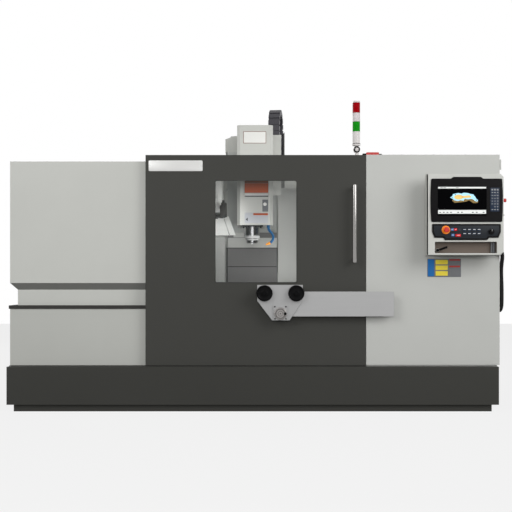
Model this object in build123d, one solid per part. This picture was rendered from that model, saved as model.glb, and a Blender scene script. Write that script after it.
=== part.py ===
from build123d import *
import math
import os

# An enclosed vertical machining centre, in millimetres.
# It is laid out from three datums: X = 0 is the spindle axis, Y = 0 is the front face of the door
# with Y growing into the machine, and Z = 0 is the floor. The finished pieces are then moved so
# that the origin is at the middle of the footprint.

# Sheet metal and running gaps
sheet = 3.0
slide_gap = 0.3
shaft_gap = 0.05

# Base
base_left = -1732.0
base_right = 1744.0
base_front = -50.0
base_rear = 1840.0
base_height = 317.0
plinth_height = 50.0
plinth_inset = 46.0
plinth_front_inset = 30.0
bed_pocket_gap = 0.3
trough_depth = 117.0
trough_margin = 80.0

# Bed, column and ways
spindle_y = 700.0
bed_half_width = 450.0
bed_front = 300.0
bed_floor = base_height + 83.0
bed_way_top = bed_floor + 100.0
bed_way_inner = 300.0
bed_way_outer = 400.0
bed_way_rear = 1250.0
column_front = 1295.0
column_rear = 1840.0
column_top = 2010.0
column_half_width = 210.0
column_foot_half_width = 420.0
column_foot_top = bed_way_top + 60.0
column_taper_top = 1000.0
column_way_inner = 85.0
column_way_outer = 150.0
column_way_height = 20.0
column_way_bottom = 700.0
cap_gap = 2.0
cap_depth = 220.0
left_cap_outer = 227.0
left_cap_step = 183.0
left_cap_inner = 130.0
left_cap_rises = (108.0, 124.0, 132.0, 137.0)
right_cap_inner = 173.5
right_cap_outer = 241.0
right_cap_rise = 153.0
right_cap_overhang = 5.5
right_cap_lip = 13.0
screw_channel_half = 55.0
screw_channel_depth = 85.0

# Travels, also used by the record
x_travel = 720.0
y_travel = 245.0
z_travel_up = 360.0
z_travel_down = 240.0
door_travel = 940.0
carousel_travel = 75.0

# Saddle and table
saddle_half_length = 600.0
saddle_half_depth = 240.0
saddle_pad_height = 30.0
saddle_top = 739.7
saddle_foot_half_width = 410.0
table_half_length = 800.0
table_half_depth = 250.0
table_top = 880.0
table_slab = 90.0
table_way_inner = 140.0
table_way_outer = 200.0
t_slot_count = 3
t_slot_pitch = 125.0
t_slot_width = 18.0
t_slot_throat = 22.0
t_slot_head_width = 30.0
t_slot_head = 14.0
end_bracket = 30.0

# Ball screws and motors
screw_radius = 18.0
z_screw_radius = 20.0
screw_lead = 16.0
nut_half_length = 40.0
x_screw_drop = 35.0
y_screw_z = bed_way_top - 50.0
y_bearing_rear = 1222.0
z_screw_y = 1335.0
motor_width = 130.0
x_motor_width = 86.0
x_motor_length = 170.0
y_motor_length = 165.0
z_motor_length = 215.0

# Head and spindle
head_bottom = 1362.0
head_top = 1790.0
head_half_width = 100.0
head_front = 560.0
head_neck_rear = 1215.0
head_pad_bottom = 1330.0
head_pad_top = 1650.0
cover_left = -115.0
cover_right = 159.0
cover_front = 520.0
cover_rear = 880.0
cover_bottom = 1351.0
cover_top = 2114.0
cover_chamfer = 22.0
nose_radius = 56.5
nose_top = 1361.7
nose_bottom = 1253.0
nose_tip = 1221.0
nose_tip_radius = 40.0
spindle_shaft_radius = 45.0
taper_radius = 22.2
taper_depth = 65.0
spindle_motor_width = 170.0
spindle_motor_length = 290.0

# Aprons in front of the column
apron_half_width = 205.0
apron_front = 1239.0
apron_bottom = 680.0
fixed_apron_front = 1232.0
fixed_apron_top = 1047.0

# Energy chain
chain_width = 90.0
chain_thickness = 44.0
chain_radius = 125.0
chain_pitch = 46.0
chain_turn = 8.0
chain_link_gap = 8.0
chain_arch_links = 8
chain_arch_relief = 2.0
chain_x = 176.0
chain_y = 965.0
chain_top = 2326.0
chain_front_bottom = 1760.0
chain_rear_bottom = 1880.0
chain_clearance = 9.0
head_trough_bottom = 1613.0
head_trough_top = 2100.0
column_trough_bottom = 1700.0
column_trough_top = 2160.0

# Enclosure
wing_left = -1730.0
wing_right = -755.0
wing_front = 52.0
rear_wall_y = 1262.0
wing_top = 1778.0
lower_guard_top = 724.0
neck_bottom = 749.0
neck_inset = 45.0
chamfer_bottom = 861.0
chamfer_top = 909.0
flange = 30.0
wing_top_flange = 64.0
frame_wall_y = 97.0
opening_left = -345.0
opening_right = 790.0
opening_bottom = 860.0
opening_top = 1700.0
roof_z = 1812.0
roof_slot_left = -245.0
roof_slot_right = 275.0
roof_slot_front = 450.0
rear_wall_top = 1700.0
rear_cut_half = 215.0
rear_cut_bottom = 1000.0
cabinet_left = 812.0
cabinet_right = 1759.0
cabinet_bottom = base_height + 10.0
cabinet_top = 1820.0
cabinet_foot_inset = 15.0

# Service door in the right end
side_door_front = 38.0
side_door_rear = 1150.0
side_door_bottom = 1200.0
side_door_top = 1792.0
side_door_thickness = 25.0
side_door_gap = 2.0
side_hinge_x = 1768.0
side_hinge_y = 26.0
side_hinge_radius = 8.5
side_hinge_pin_radius = 4.0
side_hinge_height = 71.0
side_hinge_centres = (1752.5, 1250.5)

# Sliding door
door_left = -755.5
door_right = 810.0
door_bottom = base_height + 7.0
door_top = 1818.0
door_depth = 45.0
window_left = -262.0
window_right = 319.5
window_bottom = 911.0
window_top = 1638.0
window_corner = 14.0
pane_lap = 16.0
pane_thickness = 6.0
handle_x = 723.4
handle_y = -62.0
handle_radius = 16.5
handle_bottom = 1052.0
handle_top = 1601.0
handle_post_radius = 11.0
handle_post_inset = 22.0
rail_front = 46.0
rail_rear = 94.0
rail_height = 25.0
rail_wall = 4.0
shoe_half_length = 40.0
shoe_x = (-690.0, 745.0)
track_height = 5.0

# Control pendant
pendant_left = 1213.5
pendant_right = 1740.5
pendant_bottom = 1100.0
pendant_top = 1664.0
pendant_front = -190.0
pendant_rear = -100.0
pendant_corner = 22.0
bezel_left = 1232.8
bezel_right = 1733.0
bezel_bottom = 1330.3
bezel_top = 1629.4
bezel_tab_left = 1375.8
bezel_tab_right = 1596.8
bezel_tab_height = 12.0
bezel_tab_slope = 15.0
bezel_bulge = 6.0
bezel_thickness = 8.0
bezel_corner = 8.0
screen_left = 1283.2
screen_right = 1621.0
screen_bottom = 1372.5
screen_top = 1576.0
screen_gap = 0.3
screen_thickness = 5.0
keypad_left = 1642.4
keypad_right = 1710.7
keypad_bottom = 1399.0
keypad_top = 1568.5
keypad_height = 2.0
panel_left = 1244.5
panel_right = 1719.0
panel_bottom = 1221.0
panel_top = 1317.0
panel_thickness = 6.0
panel_tab_left = 1320.5
panel_tab_right = 1638.2
panel_tab_height = 16.0
panel_tab_slope = 13.0
panel_taper = 16.0
panel_taper_top = 1262.0
panel_corner = 8.0
key_size = 24.0
key_height = 2.0
niche_left = 1264.6
niche_right = 1693.5
niche_bottom = 1114.8
niche_top = 1194.0
niche_depth = 60.0
estop_x = 1338.5
estop_z = 1275.0
estop_ring_radius = 27.5
estop_ring_height = 7.0
estop_head_radius = 18.5
estop_head_height = 12.0
estop_stem_radius = 11.0
estop_stand = 26.0
estop_travel = 5.0
knob_x = 1652.7
knob_z = 1262.0
knob_radius = 19.0
knob_height = 20.0
knob_shaft_radius = 4.0
side_button_z = 1483.0
side_button_y = -150.0
side_button_radius = 13.0
side_button_height = 19.5
side_button_stem = 8.0
side_button_travel = 6.0
lever_x = 1289.5
lever_z = 1135.5
lever_reach = 58.0
lever_rise = 20.6
swivel_x = 1289.5
swivel_y = -55.0
swivel_pin_radius = 12.0
swivel_barrel_radius = 20.0
swivel_bottom = 1146.0
swivel_top = 1354.0
ear_thickness = 16.0

# Handwheel station
arm_left = 150.0
arm_right = 1000.0
arm_bottom = 674.0
arm_top = 848.5
arm_rear = -60.0
arm_thickness = 10.0
arm_post_radius = 15.0
arm_post_x = (852.0, 960.0)
plate_left = 37.4
plate_right = 358.2
plate_top = 895.6
plate_shoulder = 783.0
plate_bottom_left = 142.0
plate_bottom_right = 265.0
plate_bottom = 646.0
plate_thickness = 10.0
wheel_x = (88.5, 311.0)
wheel_z = 837.0
wheel_radius = 57.0
wheel_rim = 9.0
wheel_shaft_radius = 7.0
wheel_stand = 22.0
grip_radius = 9.0
grip_length = 34.0
grip_orbit = 50.0
grip_angles = (180.0, 212.0)
boss_radius = 22.0
dial_flange_left = 151.6
dial_flange_right = 248.0
dial_flange_bottom = 648.0
dial_flange_top = 752.0
dial_flange_thickness = 14.0
dial_x = 199.8
dial_z = 694.0
dial_radius = 44.0
dial_height = 14.0
dial_knob_radius = 9.0
dial_knob_orbit = 33.0
dial_shaft_radius = 5.0

# Tower light
tower_x = 753.6
tower_y = 120.0
tower_radius = 27.0
tower_levels = (1914.0, 2000.0, 2073.0, 2135.0, 2209.0, 2220.0)
knuckle_z = 1871.0
knuckle_radius = 25.0

# Door interlock on the roof
interlock_left = 792.0
interlock_right = 926.0
interlock_y = 30.0
interlock_depth = 40.0
interlock_height = 22.0

# Tool carousel
carousel_x = -540.0
hood_radius = 317.0
hood_bottom = 1448.0
hood_top = 1700.0
carousel_z = 1424.0
carousel_thickness = 12.0
carousel_disc_radius = 290.0
gripper_radius = 343.0
gripper_count = 16
carousel_shaft_radius = 30.0
beam_bottom = 1730.0
beam_top = 1790.0

# Electrical cabinet and coolant tank
electric_half_width = 420.0
electric_front = 1840.0
electric_rear = 2160.0
electric_bottom = 330.0
electric_top = 1900.0
electric_door_margin = 14.0
electric_door_thickness = 20.0
electric_hinge_radius = 8.0
electric_rim = 14.0
electric_rim_depth = 21.0
electric_plate_inset = 60.0
electric_gear = (
    (-320.0, 310.0, 1300.0, 1640.0, 190.0),
    (-330.0, 120.0, 980.0, 1160.0, 90.0),
    (-330.0, -60.0, 560.0, 780.0, 170.0),
)
switch_z = 1350.0
switch_x = -250.0
tank_left = -1620.0
tank_right = -500.0
tank_front = 1846.0
tank_rear = 2150.0
tank_top = 290.0
pump_radius = 60.0
pump_height = 260.0

# Conduit from the pendant to the right end
conduit_radius = 14.0
conduit_gland_radius = 18.0
conduit_start = (1715.0, -80.0, 1330.0)
conduit_wall_x = 1777.0
conduit_front_y = 14.0
conduit_bend_radius = 65.0
conduit_bend_z = 778.0
conduit_end_z = 1010.0
conduit_end_y = conduit_front_y + 2 * conduit_bend_radius

# Overall place: the origin is the middle of the footprint, without the conduit
overall_left = wing_left - 8.0
overall_right = conduit_wall_x + conduit_gland_radius
overall_front = pendant_front - panel_thickness - estop_stand - estop_head_height
overall_rear = electric_rear + 52.0
shift_x = -(overall_left + overall_right) / 2
shift_y = -(overall_front + overall_rear) / 2


def block(x0, x1, y0, y1, z0, z1):
    """A box between two corners."""
    return Pos((x0 + x1) / 2, (y0 + y1) / 2, (z0 + z1) / 2) * Box(x1 - x0, y1 - y0, z1 - z0)


def rod_z(x, y, z0, z1, radius):
    return Pos(x, y, (z0 + z1) / 2) * Cylinder(radius, z1 - z0)


def rod_y(x, z, y0, y1, radius):
    return Pos(x, (y0 + y1) / 2, z) * Rot(90, 0, 0) * Cylinder(radius, y1 - y0)


def rod_x(y, z, x0, x1, radius):
    return Pos((x0 + x1) / 2, y, z) * Rot(0, 90, 0) * Cylinder(radius, x1 - x0)


def tray(x0, x1, y0, y1, z0, z1, wall, open_sides):
    """A folded sheet box, open on the named sides."""
    inner = {
        "x0": x0 + wall, "x1": x1 - wall, "y0": y0 + wall,
        "y1": y1 - wall, "z0": z0 + wall, "z1": z1 - wall,
    }
    for side in open_sides:
        inner[side] += -2 * wall if side.endswith("0") else 2 * wall
    return block(x0, x1, y0, y1, z0, z1) - block(**inner)


def plate_xz(points, y0, y1):
    """A plate cut to an outline of (x, z) points, between two depths."""
    outline = make_face(Polyline(*[(x, 0, z) for x, z in points], close=True))
    return extrude(Pos(0, y0, 0) * outline, y1 - y0, dir=(0, 1, 0))


def rounded_plate(x0, x1, z0, z1, y0, y1, radius):
    body = block(x0, x1, y0, y1, z0, z1)
    return fillet(body.edges().filter_by(Axis.Y), radius)


# Base skirt: a closed dark tray round the bed, on a plinth that is set back
def make_base_skirt():
    deck = block(base_left, base_right, base_front, base_rear, plinth_height, base_height)
    deck = fillet(deck.edges().filter_by(Axis.Z), 8)
    plinth = block(
        base_left + plinth_inset, base_right - plinth_inset,
        base_front + plinth_front_inset, base_rear - plinth_inset, 0, plinth_height,
    )
    pocket = block(
        -bed_half_width - bed_pocket_gap, bed_half_width + bed_pocket_gap,
        bed_front - bed_pocket_gap, base_rear + 1, -1, base_height + 1,
    )
    body = deck + plinth - pocket
    for x0, x1 in (
        (base_left + trough_margin, -bed_half_width - trough_margin),
        (bed_half_width + trough_margin, base_right - trough_margin),
    ):
        body -= block(x0, x1, 150, 1150, base_height - trough_depth, base_height + 1)
    body += block(
        wing_left + 5, cabinet_left - slide_gap, 6, 40, base_height - 1,
        base_height + track_height)
    return body


# Machine bed: casting with two box ways, a column seat and the bearing blocks of the Y screw
def make_machine_bed():
    body = block(-bed_half_width, bed_half_width, bed_front, base_rear, 0, bed_floor)
    for side in (-1, 1):
        x0, x1 = sorted((side * bed_way_inner, side * bed_way_outer))
        body += block(x0, x1, bed_front, bed_way_rear, bed_floor, bed_way_top)
    body += block(
        -column_foot_half_width, column_foot_half_width, column_front, column_rear,
        bed_floor, column_foot_top,
    )
    for y0 in (bed_front, y_bearing_rear - 36):
        bearing = block(-60, 60, y0, y0 + 36, bed_floor, bed_way_top)
        body += bearing - rod_y(0, y_screw_z, y0 - 1, y0 + 37, screw_radius + shaft_gap)
    return body


# Column: tapered casting with two ways and a channel for the Z screw
def make_column():
    lower = Sketch() + Pos(0, (column_front + column_rear) / 2, column_foot_top) * Rectangle(
        2 * column_foot_half_width, column_rear - column_front)
    upper = Sketch() + Pos(0, (column_front + column_rear) / 2, column_taper_top) * Rectangle(
        2 * column_half_width, column_rear - column_front)
    body = loft([lower.face(), upper.face()])
    body += block(
        -column_half_width, column_half_width, column_front, column_rear,
        column_taper_top, column_top,
    )
    for side in (-1, 1):
        x0, x1 = sorted((side * column_way_inner, side * column_way_outer))
        body += block(
            x0, x1, column_front - column_way_height, column_front,
            column_way_bottom, column_top,
        )
    body -= block(
        -screw_channel_half, screw_channel_half, column_front - 1,
        column_front + screw_channel_depth, column_way_bottom, column_top + 1,
    )
    for z0 in (column_way_bottom, column_top - 36):
        bearing = block(
            -screw_channel_half, screw_channel_half, column_front,
            column_front + screw_channel_depth, z0, z0 + 36,
        )
        body += bearing - rod_z(0, z_screw_y, z0 - 1, z0 + 37, z_screw_radius + shaft_gap)
    return body


# Column caps: two sheet boxes on top of the casting
def make_column_caps():
    y0 = column_front + cap_gap
    y1 = y0 + cap_depth
    edge, step_low, step_high, crown = [column_top + rise for rise in left_cap_rises]
    left_cap = plate_xz([
        (-left_cap_outer, column_top), (-left_cap_inner, column_top), (-left_cap_inner, crown),
        (-left_cap_step, step_high), (-left_cap_step, step_low), (-left_cap_outer, edge)], y0, y1)
    lip = column_top + right_cap_rise
    right_cap = block(right_cap_inner, right_cap_outer, y0, y1, column_top, lip)
    right_cap += block(
        right_cap_inner - right_cap_overhang, right_cap_outer, y0 - right_cap_overhang, y1,
        lip, lip + right_cap_lip)
    return Compound(children=[left_cap, right_cap])


def make_fixed_apron():
    return block(
        -apron_half_width, apron_half_width, fixed_apron_front, fixed_apron_front + sheet,
        bed_floor, fixed_apron_top)


def make_column_chain_trough():
    trough = chain_trough(rear_leg_x, rear_leg_y, column_trough_bottom, column_trough_top, -1)
    for z0 in (column_trough_bottom + 20, column_trough_top - 200):
        trough += block(
            rear_leg_x - chain_trough_half_x, column_half_width,
            rear_leg_y + chain_trough_half_y - 1, column_front, z0, z0 + 40,
        )
    return trough


# Y axis drive
def make_y_screw():
    body = rod_y(0, y_screw_z, bed_front - 20, y_bearing_rear - 4, screw_radius)
    return body


def make_y_motor():
    half = motor_width / 2
    body = block(
        -half, half, bed_front - 20 - y_motor_length, bed_front - 20,
        y_screw_z - half, y_screw_z + half,
    )
    body = fillet(body.edges().filter_by(Axis.Y), 12)
    body += rod_y(0, y_screw_z, bed_front - 20, bed_front, 55) - rod_y(
        0, y_screw_z, bed_front - 21, bed_front + 1, screw_radius + shaft_gap)
    body += block(
        -26, 26, bed_front - 10 - y_motor_length, bed_front - y_motor_length + 40,
        y_screw_z + half - 1, y_screw_z + half + 12,
    )
    return body


# Saddle: cross casting that rides on the bed's ways and carries the table's
def make_saddle():
    y0 = spindle_y - saddle_half_depth
    y1 = spindle_y + saddle_half_depth
    foot_top = bed_way_top + saddle_pad_height
    body = block(-saddle_foot_half_width, saddle_foot_half_width, y0, y1, foot_top, foot_top + 110)
    body += block(
        -saddle_half_length, saddle_half_length, y0 + 20, y1 - 20, foot_top + 110, saddle_top - 30)
    for side in (-1, 1):
        x0, x1 = sorted((side * (bed_way_inner - 10), side * saddle_foot_half_width))
        body += block(x0, x1, y0, y1, bed_way_top + slide_gap, foot_top)
        ys = sorted((
            spindle_y + side * (table_way_inner - 10), spindle_y + side * (table_way_outer + 10)))
        body += block(
            -saddle_half_length, saddle_half_length, ys[0], ys[1], saddle_top - 30, saddle_top)
        keeper = sorted((
            side * (bed_way_outer + slide_gap), side * saddle_foot_half_width))
        body += block(keeper[0], keeper[1], y0, y1, bed_way_top - 40, bed_way_top + slide_gap)
    nut = block(-50, 50, spindle_y - nut_half_length, spindle_y + nut_half_length, bed_floor + 8,
                foot_top)
    nut -= rod_y(0, y_screw_z, spindle_y - 60, spindle_y + 60, screw_radius + shaft_gap)
    body += nut
    x_nut = block(-nut_half_length, nut_half_length, spindle_y - 38, spindle_y + 38,
                  saddle_top - 30, table_top - table_slab - 4)
    x_nut -= rod_x(spindle_y, x_screw_z, -60, 60, screw_radius + shaft_gap)
    body += x_nut
    return body


x_screw_z = table_top - table_slab - x_screw_drop + 10


# Work table: slab with T slots, two ways under it and a bearing bracket at each end
def make_work_table():
    y0 = spindle_y - table_half_depth
    y1 = spindle_y + table_half_depth
    slab_bottom = table_top - table_slab
    body = block(-table_half_length, table_half_length, y0, y1, slab_bottom, table_top)
    body = chamfer(body.edges().filter_by(Axis.Z), 12)
    for i in range(t_slot_count):
        y = spindle_y + (i - (t_slot_count - 1) / 2) * t_slot_pitch
        throat_bottom = table_top - t_slot_throat
        body -= block(
            -table_half_length - 1, table_half_length + 1,
            y - t_slot_width / 2, y + t_slot_width / 2, throat_bottom, table_top + 1)
        body -= block(
            -table_half_length - 1, table_half_length + 1,
            y - t_slot_head_width / 2, y + t_slot_head_width / 2,
            throat_bottom - t_slot_head, throat_bottom)
    for side in (-1, 1):
        ys = sorted((spindle_y + side * table_way_inner, spindle_y + side * table_way_outer))
        body += block(
            -table_half_length, table_half_length, ys[0], ys[1],
            saddle_top + slide_gap, slab_bottom)
        xs = sorted((side * table_half_length, side * (table_half_length - end_bracket)))
        bracket = block(
            xs[0], xs[1], spindle_y - 50, spindle_y + 50, saddle_top + slide_gap, slab_bottom)
        body += bracket - rod_x(spindle_y, x_screw_z, xs[0] - 1, xs[1] + 1,
                                screw_radius + shaft_gap)
    return body


def make_x_screw():
    return rod_x(spindle_y, x_screw_z, -table_half_length + 4, table_half_length, screw_radius)


def make_x_motor():
    half = x_motor_width / 2
    body = block(
        table_half_length, table_half_length + x_motor_length, spindle_y - half, spindle_y + half,
        x_screw_z - 22, x_screw_z - 22 + x_motor_width,
    )
    return fillet(body.edges().filter_by(Axis.X), 9)


# Headstock: casting on four way pads, with the nut bracket of the Z screw
def make_headstock():
    body = block(
        -head_half_width, head_half_width, head_front, head_neck_rear, head_bottom, head_top)
    body = fillet(
        body.edges().filter_by(Axis.Z).sort_by(Axis.Y)[:2], 30)
    pad_back = column_front - column_way_height - slide_gap
    body += block(
        -column_way_outer, column_way_outer, head_neck_rear, head_neck_rear + 20,
        head_pad_bottom, head_pad_top)
    for side in (-1, 1):
        x0, x1 = sorted((side * column_way_inner, side * column_way_outer))
        body += block(x0, x1, head_neck_rear + 20, pad_back, head_pad_bottom, head_pad_top)
    nut = block(
        -40, 40, head_neck_rear + 20, z_screw_y + 32, 1480, 1480 + 2 * nut_half_length)
    nut -= rod_z(0, z_screw_y, 1470, 1490 + 2 * nut_half_length, z_screw_radius + shaft_gap)
    body += nut
    for z0 in (1400, 1700):
        body += block(cover_left + sheet, -head_half_width, 640, 700, z0, z0 + 40)
        body += block(head_half_width, cover_right - sheet, 640, 700, z0, z0 + 40)
    body += block(head_half_width, cover_right - sheet - 6, 600, 700, head_bottom, head_bottom + 26)
    body -= rod_z(0, spindle_y, head_bottom - 1, head_top + 1, spindle_shaft_radius + shaft_gap)
    return body


# Spindle: nose with its cone, taper bore and drive keys, and the shaft above it
def make_spindle():
    profile = make_face(Polyline(
        (0, nose_tip + taper_depth), (taper_radius * 0.57, nose_tip + taper_depth),
        (taper_radius, nose_tip), (nose_tip_radius, nose_tip),
        (nose_tip_radius + 4, nose_tip + 5), (nose_tip_radius + 4, nose_bottom - 12),
        (nose_radius, nose_bottom), (nose_radius, nose_top - 14),
        (nose_radius - 3, nose_top - 11), (nose_radius - 3, nose_top),
        (spindle_shaft_radius, nose_top), (spindle_shaft_radius, head_top),
        (0, head_top), close=True,
    ).rotate(Axis.X, 90))
    body = Pos(0, spindle_y, 0) * revolve(profile, Axis.Z)
    for side in (-1, 1):
        y0, y1 = sorted((spindle_y + side * (taper_radius + 4), spindle_y + side * 36))
        body += block(-8, 8, y0, y1, nose_tip - 7, nose_tip + 5)
    return body


def make_spindle_motor():
    half = spindle_motor_width / 2
    body = block(
        -half, half, spindle_y - half, spindle_y + half, head_top + slide_gap,
        head_top + spindle_motor_length)
    body = chamfer(body.edges().filter_by(Axis.Z), 24)
    groove_count = 5
    for i in range(groove_count):
        z = head_top + 60 + i * 36
        ring = block(-half - 1, half + 1, spindle_y - half - 1, spindle_y + half + 1, z, z + 12)
        ring -= block(-half + 6, half - 6, spindle_y - half + 6, spindle_y + half - 6, z, z + 12)
        body -= ring
    return body


# Head cover: folded sheet round the front of the head, with the chain's moving trough
def make_head_cover():
    outer = block(cover_left, cover_right, cover_front, cover_rear, cover_bottom, cover_top)
    outer = chamfer(outer.edges().filter_by(Axis.Z).sort_by(Axis.Y)[:2], cover_chamfer)
    inner = block(
        cover_left + sheet, cover_right - sheet, cover_front + sheet, cover_rear + 1,
        cover_bottom - 1, cover_top - sheet)
    inner = chamfer(
        inner.edges().filter_by(Axis.Z).sort_by(Axis.Y)[:2], cover_chamfer - sheet * 0.6)
    body = outer - inner
    body += block(
        cover_left + sheet, cover_right - sheet, spindle_y + 150, spindle_y + 153,
        head_top + 20, cover_top - sheet)
    trough = chain_trough(chain_x, chain_y, head_trough_bottom, head_trough_top, 1)
    trough += block(
        cover_right - sheet - 24, cover_right - sheet, spindle_y + 152,
        chain_y - chain_trough_half_y + 1, head_top + 60, head_trough_top - 60)
    return body + trough


# Apron under the head, sliding behind the fixed one
def make_way_apron():
    top = head_pad_bottom
    body = block(
        -apron_half_width, apron_half_width, apron_front, apron_front + 2, apron_bottom, top)
    body += block(
        -apron_half_width, apron_half_width, apron_front - 3, apron_front, 1203, top)
    body += block(-column_way_outer, column_way_outer, apron_front + 2,
                  column_front - column_way_height - 12, top - 20, top)
    return body


def make_z_screw():
    return rod_z(0, z_screw_y, column_way_bottom + 4, column_top - 2, z_screw_radius)


def make_z_motor():
    half = motor_width / 2
    body = block(
        -half, half, z_screw_y - half + 6, z_screw_y + half + 6, column_top,
        column_top + z_motor_length)
    body = fillet(body.edges().filter_by(Axis.Z), 12)
    body += block(-24, 24, z_screw_y + half + 5, z_screw_y + half + 20,
                  column_top + 120, column_top + 170)
    return body


# Energy chain: an inverted U of links, standing in two sheet troughs
rear_leg_x = chain_x + 2 * chain_radius * math.sin(math.radians(chain_turn))
rear_leg_y = chain_y + 2 * chain_radius * math.cos(math.radians(chain_turn))
chain_trough_half_x = chain_width / 2 + chain_clearance + sheet
chain_corner_y = (
    chain_width / 2 * math.sin(math.radians(chain_turn))
    + chain_thickness / 2 * math.cos(math.radians(chain_turn)))
chain_trough_half_y = chain_corner_y + slide_gap + sheet


def chain_trough(x, y, z0, z1, open_side):
    """A sheet channel that a chain leg slides in, open towards the other leg."""
    half_x = chain_trough_half_x
    half_y = chain_trough_half_y
    outer = block(x - half_x, x + half_x, y - half_y, y + half_y, z0, z1)
    y0 = y - half_y + (sheet if open_side > 0 else -1)
    y1 = y + half_y - (sheet if open_side < 0 else -1)
    return outer - block(x - half_x + sheet, x + half_x - sheet, y0, y1, z0 - 1, z1 + 1)


def make_energy_chain():
    core = chain_thickness - 12
    arc_z = chain_top - chain_radius - chain_thickness / 2
    links = []

    def link(x, z, angle, length, thickness, width):
        piece = Box(width, thickness, length)
        return Pos(0, x, z) * Rot(angle, 0, 0) * piece

    band = extrude(
        make_face(
            Polyline(
                (0, -core / 2, 0), (0, core / 2, 0), (0, core / 2, arc_z - chain_front_bottom),
                (0, -core / 2, arc_z - chain_front_bottom), close=True)),
        chain_width - 14, dir=(1, 0, 0))
    band = Pos(-(chain_width - 14) / 2, 0, chain_front_bottom) * band
    rear = Pos(0, 2 * chain_radius, (chain_rear_bottom + arc_z) / 2) * Box(
        chain_width - 14, core, arc_z - chain_rear_bottom)
    arch = Pos(0, chain_radius, arc_z) * Rot(0, 90, 0) * (
        Cylinder(chain_radius + core / 2, chain_width - 14)
        - Cylinder(chain_radius - core / 2, chain_width - 12))
    arch -= block(-chain_width, chain_width, -chain_radius, 3 * chain_radius,
                  arc_z - 2 * chain_radius, arc_z)
    body = band + rear + arch
    link_length = chain_pitch - chain_link_gap
    z = arc_z - chain_pitch / 2
    while z - chain_pitch / 2 > chain_front_bottom:
        links.append(link(0, z, 0, link_length, chain_thickness, chain_width))
        if z - chain_pitch / 2 > chain_rear_bottom:
            links.append(
                link(2 * chain_radius, z, 0, link_length, chain_thickness, chain_width))
        z -= chain_pitch
    for i in range(chain_arch_links):
        angle = 180 * (i + 0.5) / chain_arch_links
        y = chain_radius - chain_radius * math.cos(math.radians(angle))
        zz = arc_z + chain_radius * math.sin(math.radians(angle))
        links.append(link(
            y, zz, -angle, link_length, chain_thickness - chain_arch_relief, chain_width))
    for piece in links:
        body += piece
    return Pos(chain_x, chain_y, 0) * Rot(0, 0, -chain_turn) * body


# Left guards
def make_left_lower_guard():
    body = tray(
        wing_left, wing_right, wing_front, rear_wall_y + sheet, base_height, lower_guard_top,
        sheet, ("x1", "z0", "z1"))
    for z0, width in ((base_height, flange), (lower_guard_top - sheet, wing_top_flange)):
        rim = block(wing_left, wing_right, wing_front, rear_wall_y + sheet, z0, z0 + sheet)
        rim -= block(
            wing_left + width, wing_right + 1, wing_front + width, rear_wall_y - flange,
            z0 - 1, z0 + sheet + 1)
        body += rim
    return body


def wing_form(inset, bottom, top):
    """The left upper guard's outer form, drawn in by a wall."""
    x1 = wing_right + (sheet if inset else 0)
    rear = rear_wall_y + sheet - inset
    left = wing_left + inset
    front = wing_front + inset

    def level(step, z):
        return Pos((left + step + x1) / 2, (front + step + rear) / 2, z) * Rectangle(
            x1 - left - step, rear - front - step)

    neck = block(left + neck_inset, x1, front + neck_inset, rear, bottom, chamfer_bottom)
    foot = loft([level(neck_inset, chamfer_bottom).face(), level(0, chamfer_top).face()])
    upper = block(left, x1, front, rear, chamfer_top, top)
    return neck + foot + upper


def make_left_upper_guard():
    body = wing_form(0, neck_bottom, wing_top) - wing_form(sheet, neck_bottom - 1, wing_top - sheet)
    rim = block(
        wing_left + neck_inset, wing_right, frame_wall_y, rear_wall_y + sheet,
        lower_guard_top, neck_bottom)
    rim -= block(
        wing_left + neck_inset + sheet, wing_right + 1, frame_wall_y + sheet, rear_wall_y,
        lower_guard_top - 1, neck_bottom + 1)
    return body + rim


# Door rail in the neck recess
def make_door_rail():
    z0 = lower_guard_top
    rail = block(
        wing_left - 8, cabinet_left - slide_gap, rail_front, rail_rear + 3, z0, z0 + rail_height)
    rail -= block(
        wing_left, cabinet_left + 1, rail_front + rail_wall, rail_rear - 1,
        z0 + rail_wall, z0 + rail_height + 1)
    end = block(
        wing_left - 8, wing_left, rail_front, rear_wall_y, z0, z0 + rail_height)
    return rail + end


# Fixed front frame behind the door
def make_front_frame():
    body = block(
        wing_right, cabinet_left, frame_wall_y, frame_wall_y + sheet, base_height, roof_z)
    body -= block(
        opening_left, opening_right, frame_wall_y - 1, frame_wall_y + sheet + 1,
        opening_bottom, opening_top)
    rim = block(
        opening_left - sheet, opening_right + sheet, frame_wall_y + sheet - 1, frame_wall_y + 26,
        opening_bottom - sheet, opening_top + sheet)
    rim -= block(
        opening_left, opening_right, frame_wall_y, frame_wall_y + 27, opening_bottom, opening_top)
    body += rim
    body += block(
        wing_right, cabinet_left, door_depth + 7, frame_wall_y, roof_z - 42, roof_z)
    return body


def make_roof_panel():
    body = block(
        wing_right, cabinet_left, door_depth + 7, rear_wall_y + sheet, roof_z, roof_z + sheet)
    body -= block(
        roof_slot_left, roof_slot_right, roof_slot_front, rear_wall_y + sheet + 1,
        roof_z - 1, roof_z + sheet + 1)
    rim = block(
        roof_slot_left - sheet, roof_slot_right + sheet, roof_slot_front - sheet,
        rear_wall_y + sheet, roof_z, roof_z + 24)
    rim -= block(
        roof_slot_left, roof_slot_right, roof_slot_front, rear_wall_y + sheet + 1,
        roof_z - 1, roof_z + 25)
    body += rim
    body += block(wing_right, wing_right + sheet, frame_wall_y + sheet, rear_wall_y,
                  wing_top - 1, roof_z)
    return body


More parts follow.
